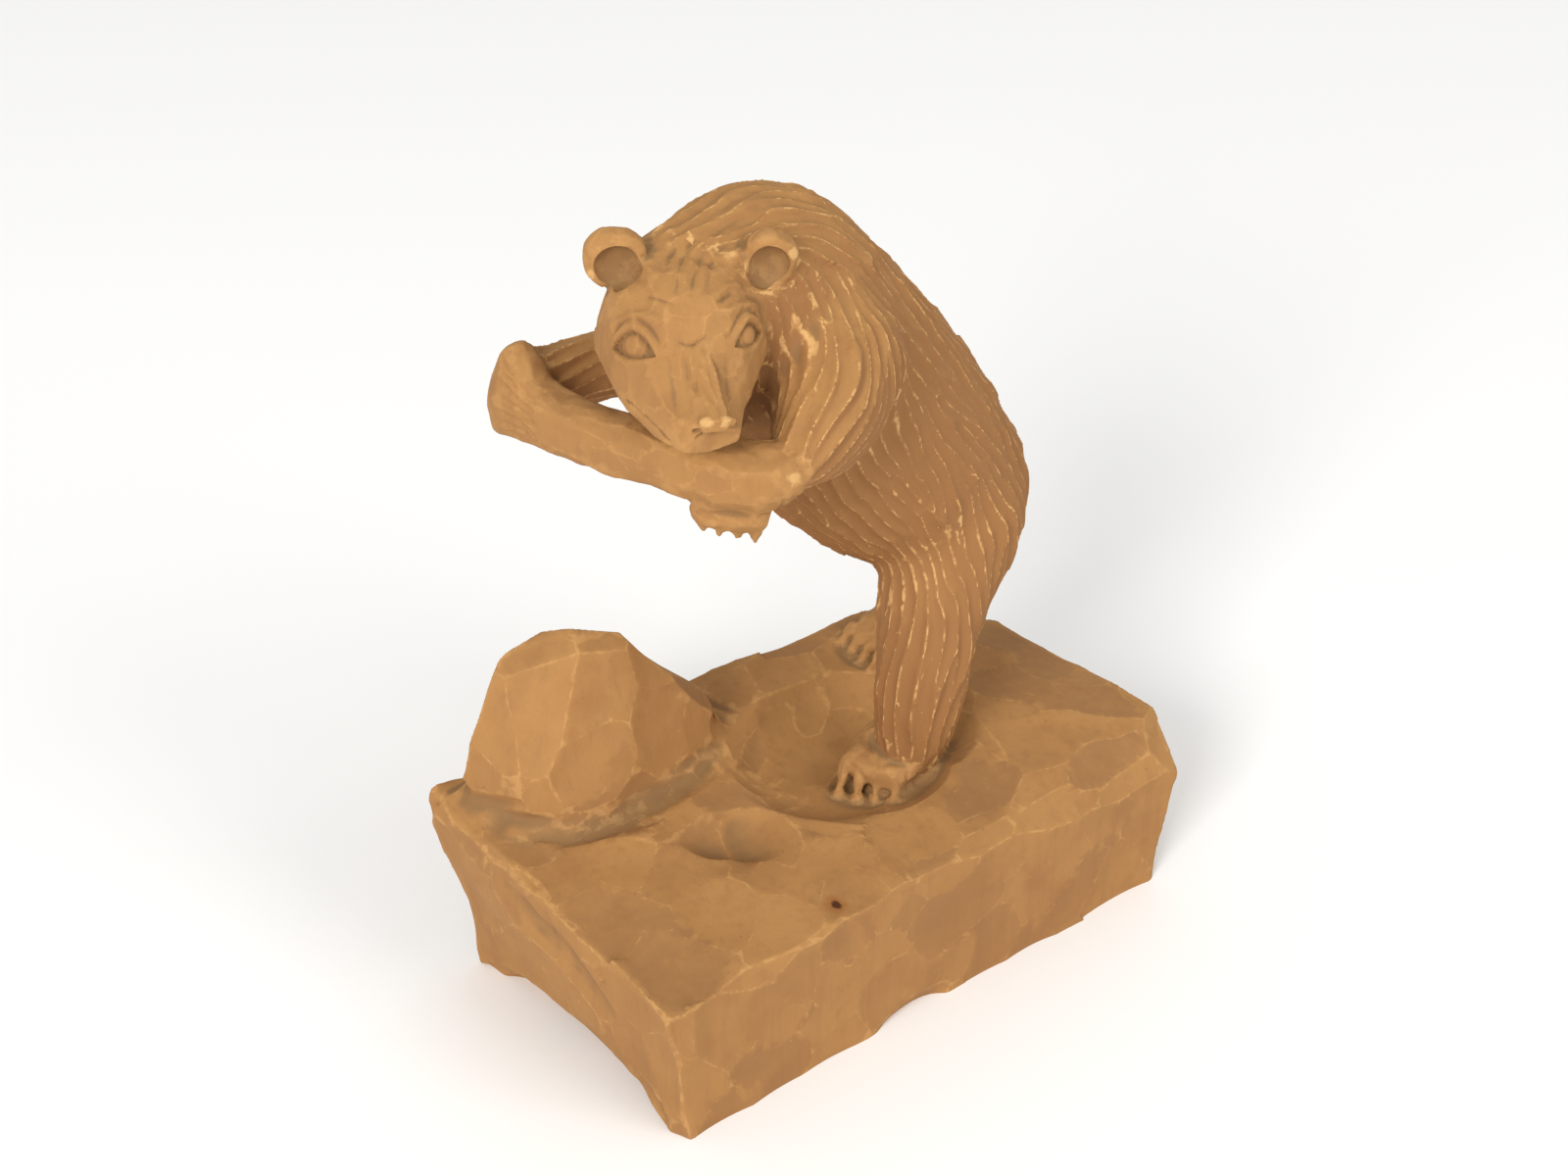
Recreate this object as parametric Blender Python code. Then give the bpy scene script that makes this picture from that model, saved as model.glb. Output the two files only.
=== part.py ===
"""A carved wooden bear that leans on its folded arms above a rough rock plinth.

Bear, boulder and plinth are one block of wood. The bear stands on its hind legs near the middle
of the plinth, bends forward over the boulder and turns its head towards the long front side.
The frame: +X along the plinth towards the bear's rump, -Y its long front side, +Z up, and the
origin in the middle of the flat underside.
"""
import math

import bmesh
import bpy
import numpy as np
from mathutils import Vector
from mathutils.bvhtree import BVHTree
from mathutils.kdtree import KDTree

# Driving sizes in metres
PLINTH_LENGTH = 0.160
PLINTH_WIDTH = 0.090
PLINTH_HEIGHT = 0.038
BOULDER_HEIGHT = 0.050
FIGURE_HEIGHT = 0.157

# Carving in metres
FUR_SPACING = 0.0058
FUR_DEPTH = 0.0012
CHIP_WIDTH = 0.013
CHIP_DEPTH = 0.0011
EDGE_WEAR = 0.0024
MUSCLE_WEAR = 0.0045

# Mesh
VOXEL = 0.0011
TRIANGLES = 9700
SEED = 11

# The bear's tables below are millimetres on a figure 157 mm tall that stands on a 38 mm plinth
FIGURE = FIGURE_HEIGHT / 157
FIGURE_FOOT = 38
# The rock's tables are millimetres on a plinth of 160 by 90 by 38 mm and a boulder 50 mm tall
PLINTH = np.array([PLINTH_LENGTH / 160, PLINTH_WIDTH / 90, PLINTH_HEIGHT / 38])
BOULDER = BOULDER_HEIGHT / 50

for old in list(bpy.data.objects):
    bpy.data.objects.remove(old)
for old in list(bpy.data.meshes):
    bpy.data.meshes.remove(old)


def figure_point(x, y, z):
    """A point of the bear's tables in metres."""
    return np.array([x * FIGURE, y * FIGURE, PLINTH_HEIGHT + (z - FIGURE_FOOT) * FIGURE])


def plinth_point(x, y, z):
    """A point of the plinth's tables in metres."""
    return np.array([x, y, z]) * PLINTH


def boulder_point(x, y, z):
    """A point of the boulder's tables in metres; it keeps its place at the plinth's -X end."""
    return np.array([x * PLINTH[0], y * PLINTH[1], PLINTH_HEIGHT + (z - FIGURE_FOOT) * BOULDER])


def smooth_path(stations, steps):
    """Rows of numbers along a Catmull-Rom curve through the stations."""
    rows = np.array(stations, float)
    rows = np.vstack([2 * rows[0] - rows[1], rows, 2 * rows[-1] - rows[-2]])
    path = []
    for a, b, c, d in zip(rows, rows[1:], rows[2:], rows[3:]):
        for step in range(steps):
            t = step / steps
            curve = 2 * b + (c - a) * t + (2 * a - 5 * b + 4 * c - d) * t**2 + (3 * b - a - 3 * c + d) * t**3
            path.append(curve / 2)
    path.append(rows[-2])
    return np.array(path)


def loft(mesh, stations, up, square=2.0, taper=0.0, cap=1.0, sides=24, steps=4):
    """A rounded limb: each station is x, y, z, half width across and half height along `up`.

    `square` over 2 flattens the four sides, `taper` narrows the top, and `cap` is the length of
    the rounded ends as a share of the end's own radius.
    """
    path = smooth_path(stations, steps)
    along = np.gradient(path[:, :3], axis=0)
    along /= np.linalg.norm(along, axis=1)[:, None]
    last = len(path) - 1
    rounds = [k * math.pi / 10 for k in (4, 3, 2, 1)]
    rings = [(0, -math.sin(a), math.cos(a)) for a in rounds]
    rings += [(k, 0.0, 1.0) for k in range(last + 1)]
    rings += [(last, math.sin(a), math.cos(a)) for a in reversed(rounds)]
    loops = []
    for index, reach, shrink in rings:
        x, y, z, wide, tall = path[index][:5]
        side = np.cross(along[index], up)
        side /= np.linalg.norm(side)
        top = np.cross(side, along[index])
        centre = np.array([x, y, z]) + along[index] * reach * cap * min(wide, tall)
        loop = []
        for k in range(sides):
            angle = 2 * math.pi * k / sides
            across = math.copysign(abs(math.cos(angle)) ** (2 / square), math.cos(angle))
            height = math.copysign(abs(math.sin(angle)) ** (2 / square), math.sin(angle))
            across *= 1 - taper * (height + 1) / 2
            point = centre + (side * across * wide + top * height * tall) * shrink
            loop.append(mesh.verts.new(figure_point(*point)))
        loops.append(loop)
    for one, two in zip(loops, loops[1:]):
        for k in range(sides):
            mesh.faces.new((one[k], one[(k + 1) % sides], two[(k + 1) % sides], two[k]))
    mesh.faces.new(reversed(loops[0]))
    mesh.faces.new(loops[-1])


def hull(mesh, points):
    """The convex block around the points, in metres."""
    block = bmesh.new()
    for point in points:
        block.verts.new(point)
    found = bmesh.ops.convex_hull(block, input=block.verts)
    inner = [item for item in found["geom_interior"] if isinstance(item, bmesh.types.BMVert)]
    bmesh.ops.delete(block, geom=inner, context="VERTS")
    data = bpy.data.meshes.new("block")
    block.to_mesh(data)
    block.free()
    mesh.from_mesh(data)
    bpy.data.meshes.remove(data)


# The head's own axes: forward along the snout, to the bear's left and up
HEAD_TURN = math.radians(237)
HEAD_NOD = math.radians(5)
EYES = np.array([-44.6, -12.0, 174.5])
LEVEL = np.array([math.cos(HEAD_TURN), math.sin(HEAD_TURN), 0.0])
UPRIGHT = np.array([0.0, 0.0, 1.0])
FORWARD = LEVEL * math.cos(HEAD_NOD) - UPRIGHT * math.sin(HEAD_NOD)
LEFT = np.cross(UPRIGHT, LEVEL)
CROWN = np.cross(FORWARD, LEFT)


def head_point(forward, left, up):
    """A point given from the middle between the eyes, in the tables' millimetres."""
    return EYES + FORWARD * forward + LEFT * left + CROWN * up


def head_loft(mesh, stations, **shape):
    """A loft along the snout: each station is forward, left, half width, top and bottom."""
    rows = []
    for forward, left, wide, top, bottom in stations:
        rows.append((*head_point(forward, left, (top + bottom) / 2), wide, (top - bottom) / 2))
    loft(mesh, rows, CROWN, **shape)


def furry_parts():
    """Torso, neck, upper arms and hind legs."""
    mesh = bmesh.new()
    loft(mesh, [(41, 8, 103, 22.5, 21.5), (29, 8, 114, 24.5, 26.5), (13, 8, 132, 25.3, 29),
                (-3, 8, 151, 25.8, 28.8), (-14, 6, 165, 23.8, 27)], (0.8, 0, 0.6), cap=0.75, sides=28)
    loft(mesh, [(-12, 6, 168, 21, 23.5), (-22, 4, 172, 20, 22), (-33, 2, 174.5, 17, 17.5)], (0, 0, 1))
    # left hind leg
    loft(mesh, [(37, -3, 102, 14.5, 17.5), (27.5, -6, 86, 13.6, 14), (23, -8, 74, 12, 11.6),
                (21.5, -8, 62, 10.5, 11.5), (20.5, -7.5, 50, 9, 9.5), (20.5, -5.5, 44, 8.5, 8.5)], (1, 0, 0))
    # right hind leg
    loft(mesh, [(48, 18, 98, 14, 16), (50, 24, 84, 12, 13), (52, 27, 72, 10.5, 10.5),
                (51, 27, 60, 9, 9.5), (49, 27, 52, 9, 9)], (1, 0, 0))
    # left upper arm, shoulder to elbow
    loft(mesh, [(2, 0, 152, 15, 16), (-6, -9, 156, 15, 17), (-16, -19, 155, 12.5, 14.5),
                (-27, -26, 151.5, 9, 10), (-35.5, -29.5, 149.8, 5.4, 5.8)], (0, 0, 1))
    # right upper arm, shoulder to elbow
    loft(mesh, [(-8, 24, 150, 11, 12), (-28, 28, 150, 8.5, 9), (-46, 29, 151.5, 7, 8),
                (-58, 27, 153, 6, 9)], (0, 0, 1))
    return mesh


def smooth_parts():
    """Head, ears, forearms, paws and feet."""
    mesh = bmesh.new()
    head_loft(mesh, [(-27, 0, 15, 9, -12), (-18, -1, 18.4, 13, -14), (-10, -1.8, 19.6, 13, -15),
                     (-4, -2, 19, 10.5, -15.2), (1, -2, 17.4, 6.2, -15.2), (6, -1.6, 15, 2, -15),
                     (11, -0.8, 12, -1, -14.8), (16, 0.6, 9, -3.2, -14.5), (19, 1.6, 7, -4.6, -14)],
              square=2.6, taper=0.3, cap=0.2, sides=32)
    # the flat bridge of the snout and the nose
    head_loft(mesh, [(-6, 0, 5, 11.5, 0), (1, 0, 2.4, 5.4, -2), (8, 0.6, 2.4, 1.6, -5),
                     (15, 1.5, 2.6, -2, -8), (20, 2.1, 3, -4, -9)], square=5, cap=0.05, steps=3)
    head_loft(mesh, [(17, 2.2, 3.8, -3.8, -8.4), (21.8, 2.4, 3.9, -4.3, -8)], square=4, cap=0.1, steps=2)
    for left, up, size in ((-14.4, 11.4, 6.4), (15.8, 10.0, 5.9)):
        head_loft(mesh, [(-14.6, left, size, up + size, up - size), (-12, left, size, up + size, up - size)],
                  cap=0.35)
    # left forearm, elbow to throat
    loft(mesh, [(-37, -32.5, 150, 4.2, 4.4), (-37.5, -28.5, 149, 6, 6.6), (-41, -20, 148, 6.5, 7),
                (-43, -6, 151, 6.5, 7)], (0, 0, 1), cap=0.6)
    # right forearm, elbow to wrist
    loft(mesh, [(-60.8, 28.2, 152.6, 5.2, 12.2), (-59.5, 18, 150, 5.8, 7.2), (-55, 1, 149.7, 6, 6.4),
                (-50, -14, 150, 6.3, 6.5), (-45.5, -22.5, 149, 6.6, 6.6), (-40.5, -27.5, 148.4, 6, 6)],
         (0, 0, 1), square=2.4)
    # right paw, hanging
    loft(mesh, [(-41, -20, 147, 8.4, 5.5), (-43.5, -21.6, 143, 8.6, 5.2), (-45.4, -22.9, 138.8, 7.8, 4.2)],
         (-0.6, -0.7, -0.2), square=2.6, cap=0.5)
    # feet
    loft(mesh, [(25, -0.5, 43.5, 8.4, 5.2), (18, -3.5, 43.6, 9.4, 5.4), (10.5, -5.3, 42.6, 9, 4.2)],
         (0, 0, 1), square=2.6)
    loft(mesh, [(50, 27, 52, 8.5, 5), (43, 27, 52, 8.5, 4.5), (38, 27, 51, 7.5, 3.5)], (0, 0, 1))
    for number in range(4):
        share = number / 3
        claw(mesh, (6.8 + 6.5 * share, 0.6 - 11.6 * share, 43.2), (-4.2, -2.6, -4.4))
        claw(mesh, (37, 33 - 12 * share, 52), (-4, -0.6, -2.2))
        claw(mesh, (-48.9 + 8.2 * share, -19.4 - 6.7 * share, 140.2 - 2.4 * share), (-0.8, -0.3, -3.2))
    return mesh


def claw(mesh, root, reach):
    """A short blunt claw that tapers from its root."""
    x, y, z = root
    dx, dy, dz = reach
    loft(mesh, [(x, y, z, 1.7, 1.9), (x + dx * 0.6, y + dy * 0.6, z + dz * 0.4, 1.5, 1.6),
                (x + dx, y + dy, z + dz, 0.8, 0.9)], (0.3, 0.2, 1), sides=10, steps=2)


def rock_blocks():
    """The plinth, wider at its rim than at its foot, and the boulder at its -X end."""
    mesh = bmesh.new()
    foot = [(-72, -40, -3), (72, -40, -3), (72, 40, -3), (-72, 40, -3)]
    rim = [(-76.5, -40.5, 36), (-60, -40, 38), (-26, -40.5, 39), (17, -39.5, 36.6), (50, -38.5, 36.6),
           (79.5, -40.5, 30), (81.5, -27, 43.5), (77, 25, 43.5), (47, 41, 50.5), (20, 42, 51.5), (-5, 43, 52.5),
           (-80.5, 45, 52), (-81.5, 45, 44), (-79, 10, 42.5)]
    hull(mesh, [plinth_point(*point) for point in foot + rim])
    stone = [(-76, 37, 60), (-73.5, 37, 69), (-69, 37, 78), (-62, 38, 85), (-50, 32, 88), (-50, 24, 87),
             (-40, 30, 86), (-38, 22, 83.5), (-15, 30, 60), (-14, 18, 56), (-8, 20, 44), (-10, 40, 46),
             (-60, 13, 42), (-74, 26, 42), (-77, 35, 50), (-38, 12, 42), (-67, 18, 58), (-45, 14, 62),
             (-70, 43, 40)]
    hull(mesh, [boulder_point(*point) for point in stone])
    return mesh


def block_out(parts, voxel):
    """One closed skin around all parts."""
    data = bpy.data.meshes.new("block_out")
    joined = bmesh.new()
    for part in parts:
        part_data = bpy.data.meshes.new("part")
        bmesh.ops.recalc_face_normals(part, faces=part.faces)
        part.to_mesh(part_data)
        joined.from_mesh(part_data)
        bpy.data.meshes.remove(part_data)
    joined.to_mesh(data)
    joined.free()
    piece = bpy.data.objects.new("block_out", data)
    bpy.context.scene.collection.objects.link(piece)
    remesh = piece.modifiers.new("one skin", "REMESH")
    remesh.mode = "VOXEL"
    remesh.voxel_size = voxel
    seen = piece.evaluated_get(bpy.context.evaluated_depsgraph_get())
    skin = bpy.data.meshes.new_from_object(seen)
    bpy.data.objects.remove(piece)
    return skin


def points_of(skin):
    """The skin's vertices as an array."""
    flat = np.empty(len(skin.vertices) * 3, np.float32)
    skin.vertices.foreach_get("co", flat)
    return flat.reshape(-1, 3).astype(float)


def normals_of(skin, points):
    """The skin's vertex normals once its vertices are at `points`."""
    skin.vertices.foreach_set("co", points.astype(np.float32).ravel())
    skin.update()
    flat = np.empty(len(skin.vertices) * 3, np.float32)
    skin.vertex_normals.foreach_get("vector", flat)
    return flat.reshape(-1, 3).astype(float)


def edges_of(skin):
    """The skin's edges as pairs of vertex numbers."""
    flat = np.empty(len(skin.edges) * 2, np.int32)
    skin.edges.foreach_get("vertices", flat)
    return flat.reshape(-1, 2)


def neighbour_mean(values, edges):
    """The mean of each vertex's neighbours."""
    one, two = edges.T
    count = len(values)
    total = np.stack([np.bincount(one, column[two], count) + np.bincount(two, column[one], count)
                      for column in values.T], 1)
    return total / np.bincount(edges.ravel(), minlength=count)[:, None]


def relax(points, edges, rounds):
    """Smooths the skin without shrinking it."""
    for _ in range(rounds):
        for share in (0.5, -0.53):
            points = points + share * (neighbour_mean(points, edges) - points)
    return points


def worn_down(blocks, voxel, wear, hollows=()):
    """One skin around the blocks, pressed in at its hollows and rounded over about `wear` metres."""
    skin = block_out((blocks,), voxel)
    points = points_of(skin)
    for place, radii in hollows:
        points = press(points, plinth_point(*place), np.eye(3), np.array(radii) * PLINTH)
    edges = edges_of(skin)
    for _ in range(int((wear / voxel) ** 2)):
        points = neighbour_mean(points, edges)
    skin.vertices.foreach_set("co", points.astype(np.float32).ravel())
    mesh = bmesh.new()
    mesh.from_mesh(skin)
    bpy.data.meshes.remove(skin)
    return mesh


def body_parts(voxel):
    """The furry parts, with the muscles flowing into each other."""
    return worn_down(furry_parts(), 1.4 * voxel, MUSCLE_WEAR)


def rock_parts(voxel):
    """The rock with its large hollows: around the feet, under the -X end and along the front."""
    hollows = [((11, -1, 60), (40, 30, 22.5)), ((-78, 1, -9), (16, 38, 17)), ((-6, -46, -3), (14, 10, 9)),
               ((-32, -8, 66), (24, 20, 25))]
    return worn_down(rock_blocks(), 1.4 * voxel, EDGE_WEAR, hollows)


def distance_to(part, points):
    """Each point's distance to a part's surface."""
    tree = BVHTree.FromBMesh(part)
    return np.array([tree.find_nearest(Vector(point))[3] for point in points])


def tree_of(points):
    """A search tree over points."""
    tree = KDTree(len(points))
    for index, point in enumerate(points):
        tree.insert(point, index)
    tree.balance()
    return tree


def soft_step(values, low, high):
    """0 below low, 1 above high and smooth between."""
    share = np.clip((values - low) / (high - low), 0, 1)
    return share * share * (3 - 2 * share)


def press(points, centre, axes, radii):
    """Pushes what lies inside an ellipsoid out to its surface, which leaves a smooth hollow."""
    local = (points - centre) @ axes.T / radii
    reach = np.linalg.norm(local, axis=1)
    inside = (reach < 1) & (reach > 1e-6)
    local[inside] /= reach[inside, None]
    moved = points.copy()
    moved[inside] = centre + (local[inside] * radii) @ axes
    return moved


def groove(points, normals, path, width, depth):
    """Cuts a tapering groove along a path, or raises a ridge where depth is negative."""
    route = smooth_path(path, 8)
    tree = tree_of(points)
    route = np.array([tree.find(point)[0] for point in route])
    middle = route.mean(0)
    reach = np.linalg.norm(route - middle, axis=1).max() + width
    near = np.flatnonzero(np.linalg.norm(points - middle, axis=1) < reach)
    start, end = route[:-1], route[1:]
    run = end - start
    length = np.maximum((run * run).sum(1), 1e-12)
    offset = points[near][:, None] - start
    share = np.clip((offset * run).sum(2) / length, 0, 1)
    gap = np.linalg.norm(offset - share[:, :, None] * run, axis=2)
    closest = gap.argmin(1)
    rows = np.arange(len(near))
    gap = gap[rows, closest]
    along = (closest + share[rows, closest]) / len(run)
    fade = np.sqrt(np.clip(4 * along * (1 - along), 0, 1))
    amount = depth * fade * np.clip(1 - gap / width, 0, 1) ** 1.3
    moved = points.copy()
    moved[near] -= normals[near] * amount[:, None]
    return moved


def gouge(points, normals, cuts, choices, deepest, highest):
    """How far each point moves along its normal when every cut scoops the skin.

    A cut is a shallow dish with a centre, a direction along it, an outward normal, a depth and
    the two radii of its hollow. Neighbouring dishes meet in a sharp ridge.
    """
    centre, along, out, depth, long_radius, cross_radius = cuts
    across = np.cross(out, along)
    tree = tree_of(centre)
    near = np.array([[hit[1] for hit in tree.find_n(point, choices)] for point in points])
    offset = points[:, None] - centre[near]
    height = (offset * out[near]).sum(2)
    run = (offset * along[near]).sum(2)
    side = (offset * across[near]).sum(2)
    dish = run**2 / (2 * long_radius[near]) + side**2 / (2 * cross_radius[near]) - depth[near]
    # a cut beyond an inner corner fades out, or it would slice into the far side
    fade = np.clip(1 - height / deepest, 0, 1)
    lift = np.where((normals[:, None] * out[near]).sum(2) > 0.35, (dish - height) * fade, highest)
    return np.clip(lift.min(1), -deepest, highest)


class Spread:
    """Remembers where cuts lie, to keep them apart."""

    def __init__(self, spacing):
        self.spacing = spacing
        self.cells = {}

    def cell(self, point):
        return tuple(int(math.floor(value / self.spacing)) for value in point)

    def add(self, point):
        self.cells.setdefault(self.cell(point), []).append(point)

    def crowded(self, point, gap):
        x, y, z = self.cell(point)
        for i in (-1, 0, 1):
            for j in (-1, 0, 1):
                for k in (-1, 0, 1):
                    for other in self.cells.get((x + i, y + j, z + k), ()):
                        if math.dist(point, other) < gap:
                            return True
        return False


def chip_cuts(points, normals, mask, width, depth, random):
    """Nearly flat knife facets of mixed sizes over the masked skin."""
    spread = Spread(width)
    chosen = []
    for index in random.permutation(np.flatnonzero(mask))[:30000]:
        if not spread.crowded(points[index], width * random.uniform(0.62, 1.0)):
            spread.add(tuple(points[index]))
            chosen.append(index)
    out = normals[chosen]
    lean = random.normal(size=out.shape) * 0.085
    out = out + lean
    out /= np.linalg.norm(out, axis=1)[:, None]
    along = np.cross(out, random.normal(size=out.shape))
    along /= np.linalg.norm(along, axis=1)[:, None]
    count = len(chosen)
    cross_radius = width**2 / (2.6 * depth) * random.uniform(0.8, 1.6, count)
    long_radius = cross_radius * random.uniform(1.5, 3.0, count)
    return points[chosen], along, out, depth * random.uniform(0.4, 1.3, count), long_radius, cross_radius


# The fur's flow, as strokes over the bear from the head towards the feet
MIDDLE = 8
FLOW = [
    [(-38, 2, 191), (-18, 3, 196), (1, 4, 187), (17, 4, 172), (41, 5, 143), (61, 5, 114), (67, 4, 92), (62, 4, 80)],
    [(-20, -12, 184), (0, -15, 172), (20, -17, 150), (38, -17, 124), (50, -15, 100), (44, -14, 82)],
    [(-4, -17, 160), (5, -18, 140), (20, -17, 120), (33, -17, 98), (33, -16, 80), (27, -14, 60), (24, -13, 44)],
    [(-6, -16, 142), (-1, -15, 124), (9, -14, 108), (14, -14, 92), (14, -14, 74), (14, -13, 58), (13, -13, 44)],
    [(0, -18, 174), (-12, -27, 166), (-24, -33, 158), (-35, -36, 150)],
    [(-18, -20, 150), (-28, -28, 143), (-35, -33, 144)],
    [(-8, 8, 130), (0, 8, 112), (15, 8, 96), (24, 8, 82)],
]
FAR_LEG = [[(50, 37, 100), (54, 38, 80), (53, 37, 66), (50, 36, 54)], [(38, 27, 88), (42, 27, 70), (41, 27, 55)],
           [(-12, 38, 160), (-30, 37, 158), (-48, 36, 158), (-62, 33, 156)],
           [(-20, 30, 142), (-40, 30, 146), (-58, 28, 148)]]


def flow_of(points, normals, reach):
    """The fur's direction along the skin at each point."""
    strokes = [list(stroke) for stroke in FLOW]
    strokes += [[(x, 2 * MIDDLE - y, z) for x, y, z in stroke] for stroke in FLOW[1:4]]
    strokes += FAR_LEG
    total = np.zeros_like(points)
    for stroke in strokes:
        line = smooth_path([figure_point(*point) for point in stroke], 5)
        course = np.gradient(line, axis=0)
        course /= np.linalg.norm(course, axis=1)[:, None]
        for place, way in zip(line, course):
            weight = np.exp(-((points - place) ** 2).sum(1) / reach**2) + 1e-12
            total += weight[:, None] * way
    turn = 0.16 * np.sin(points @ (np.array([0.21, 0.16, 0.13]) / FIGURE))
    turn += 0.10 * np.sin(points @ (np.array([-0.33, 0.42, 0.3]) / FIGURE) + 1.0)
    total -= normals * (total * normals).sum(1)[:, None]
    total /= np.linalg.norm(total, axis=1)[:, None] + 1e-12
    return total * np.cos(turn)[:, None] + np.cross(normals, total) * np.sin(turn)[:, None]


def fur_cuts(points, normals, mask, spacing, depth, random):
    """Long veiner strokes along the fur's flow, each fading in and out."""
    flow = flow_of(points, normals, 16 * FIGURE)
    tree = tree_of(points)
    spread = Spread(spacing)
    step = spacing * 0.34
    rows = []

    def walk(index, sign, limit):
        """Follows the flow from a vertex until the fur ends or other strokes crowd it."""
        place = points[index]
        way = flow[index] * sign
        line = []
        for _ in range(limit):
            _, index, _ = tree.find(place + way * step)
            place = place + way * step
            place = place - normals[index] * ((place - points[index]) @ normals[index])
            if mask[index] < 0.5 or spread.crowded(place, spacing * 0.62):
                break
            way = flow[index] * sign
            line.append((place, way * sign, normals[index]))
        return line

    for index in random.permutation(np.flatnonzero(mask > 0.5))[:40000]:
        if spread.crowded(points[index], spacing * 0.92):
            continue
        limit = int(random.uniform(6, 26))
        line = walk(index, -1, limit)[::-1] + [(points[index], flow[index], normals[index])]
        line += walk(index, 1, limit)
        if len(line) < 4:
            continue
        strength = depth * random.uniform(0.7, 1.2)
        for number, (place, way, out) in enumerate(line):
            spread.add(tuple(place))
            share = 2 * (number + 0.5) / len(line) - 1
            rows.append((*place, *way, *out, strength * (1 - 0.75 * share**4)))
    rows = np.array(rows)
    cross_radius = np.full(len(rows), spacing**2 / (7 * depth))
    return rows[:, :3], rows[:, 3:6], rows[:, 6:9], rows[:, 9], np.full(len(rows), 1e3), cross_radius


def carve_eye(points, normals, corners, rise_top, drop, depth):
    """An almond socket with a round eyeball, an incised iris, a raised upper lid and its fold."""
    right, left = corners
    middle = (right + left) / 2
    half_long = np.linalg.norm(left - right) / 2
    centre = points[np.linalg.norm(points - middle, axis=1).argmin()]
    near = np.linalg.norm(points - centre, axis=1)
    out = normals[near < half_long * 0.8].mean(0)
    out /= np.linalg.norm(out)
    across = left - right
    across -= out * (across @ out)
    across /= np.linalg.norm(across)
    rise = np.cross(out, across)
    if rise[2] < 0:
        rise = -rise
    local = points - centre
    a = local @ across
    b = local @ rise
    arch = np.clip(1 - np.abs(a / half_long) ** 1.8, 0, 1)
    inner = np.minimum(rise_top * arch - b, b + drop * arch)
    socket = soft_step(inner, 0, depth * 0.55)
    radius = 0.56 * (rise_top + drop)
    from_pupil = np.hypot(a, b - (rise_top - drop) / 2)
    ball = np.sqrt(np.clip(1 - (from_pupil / radius) ** 2, 0, 1))
    ring = np.exp(-((from_pupil - 0.72 * radius) / (0.16 * radius)) ** 2)
    beyond = -inner / depth
    above = soft_step(b, 0, rise_top) * (np.abs(a) < 1.15 * half_long)
    lid = above * np.exp(-((beyond - 0.7) / 0.6) ** 2)
    fold = above * np.exp(-((beyond - 1.9) / 0.45) ** 2)
    low_lid = (b < 0) * (np.abs(a) < half_long) * np.exp(-((beyond - 0.5) / 0.4) ** 2)
    amount = socket * depth * (1.15 * ball - 0.35 * ring - 1.1)
    amount += (1 - socket) * depth * (0.45 * lid - 0.35 * fold + 0.2 * low_lid)
    amount *= near < half_long * 2
    return points + out * amount[:, None]


def refine(skin, chosen):
    """Halves the skin's faces between the chosen vertices."""
    mesh = bmesh.new()
    mesh.from_mesh(skin)
    fine = [edge for edge in mesh.edges if chosen[edge.verts[0].index] and chosen[edge.verts[1].index]]
    bmesh.ops.subdivide_edges(mesh, edges=fine, cuts=1, use_grid_fill=True)
    bmesh.ops.triangulate(mesh, faces=mesh.faces)
    mesh.to_mesh(skin)
    mesh.free()


def head_path(*places):
    """A path given from the middle between the eyes."""
    return [figure_point(*head_point(*place)) for place in places]


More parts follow.
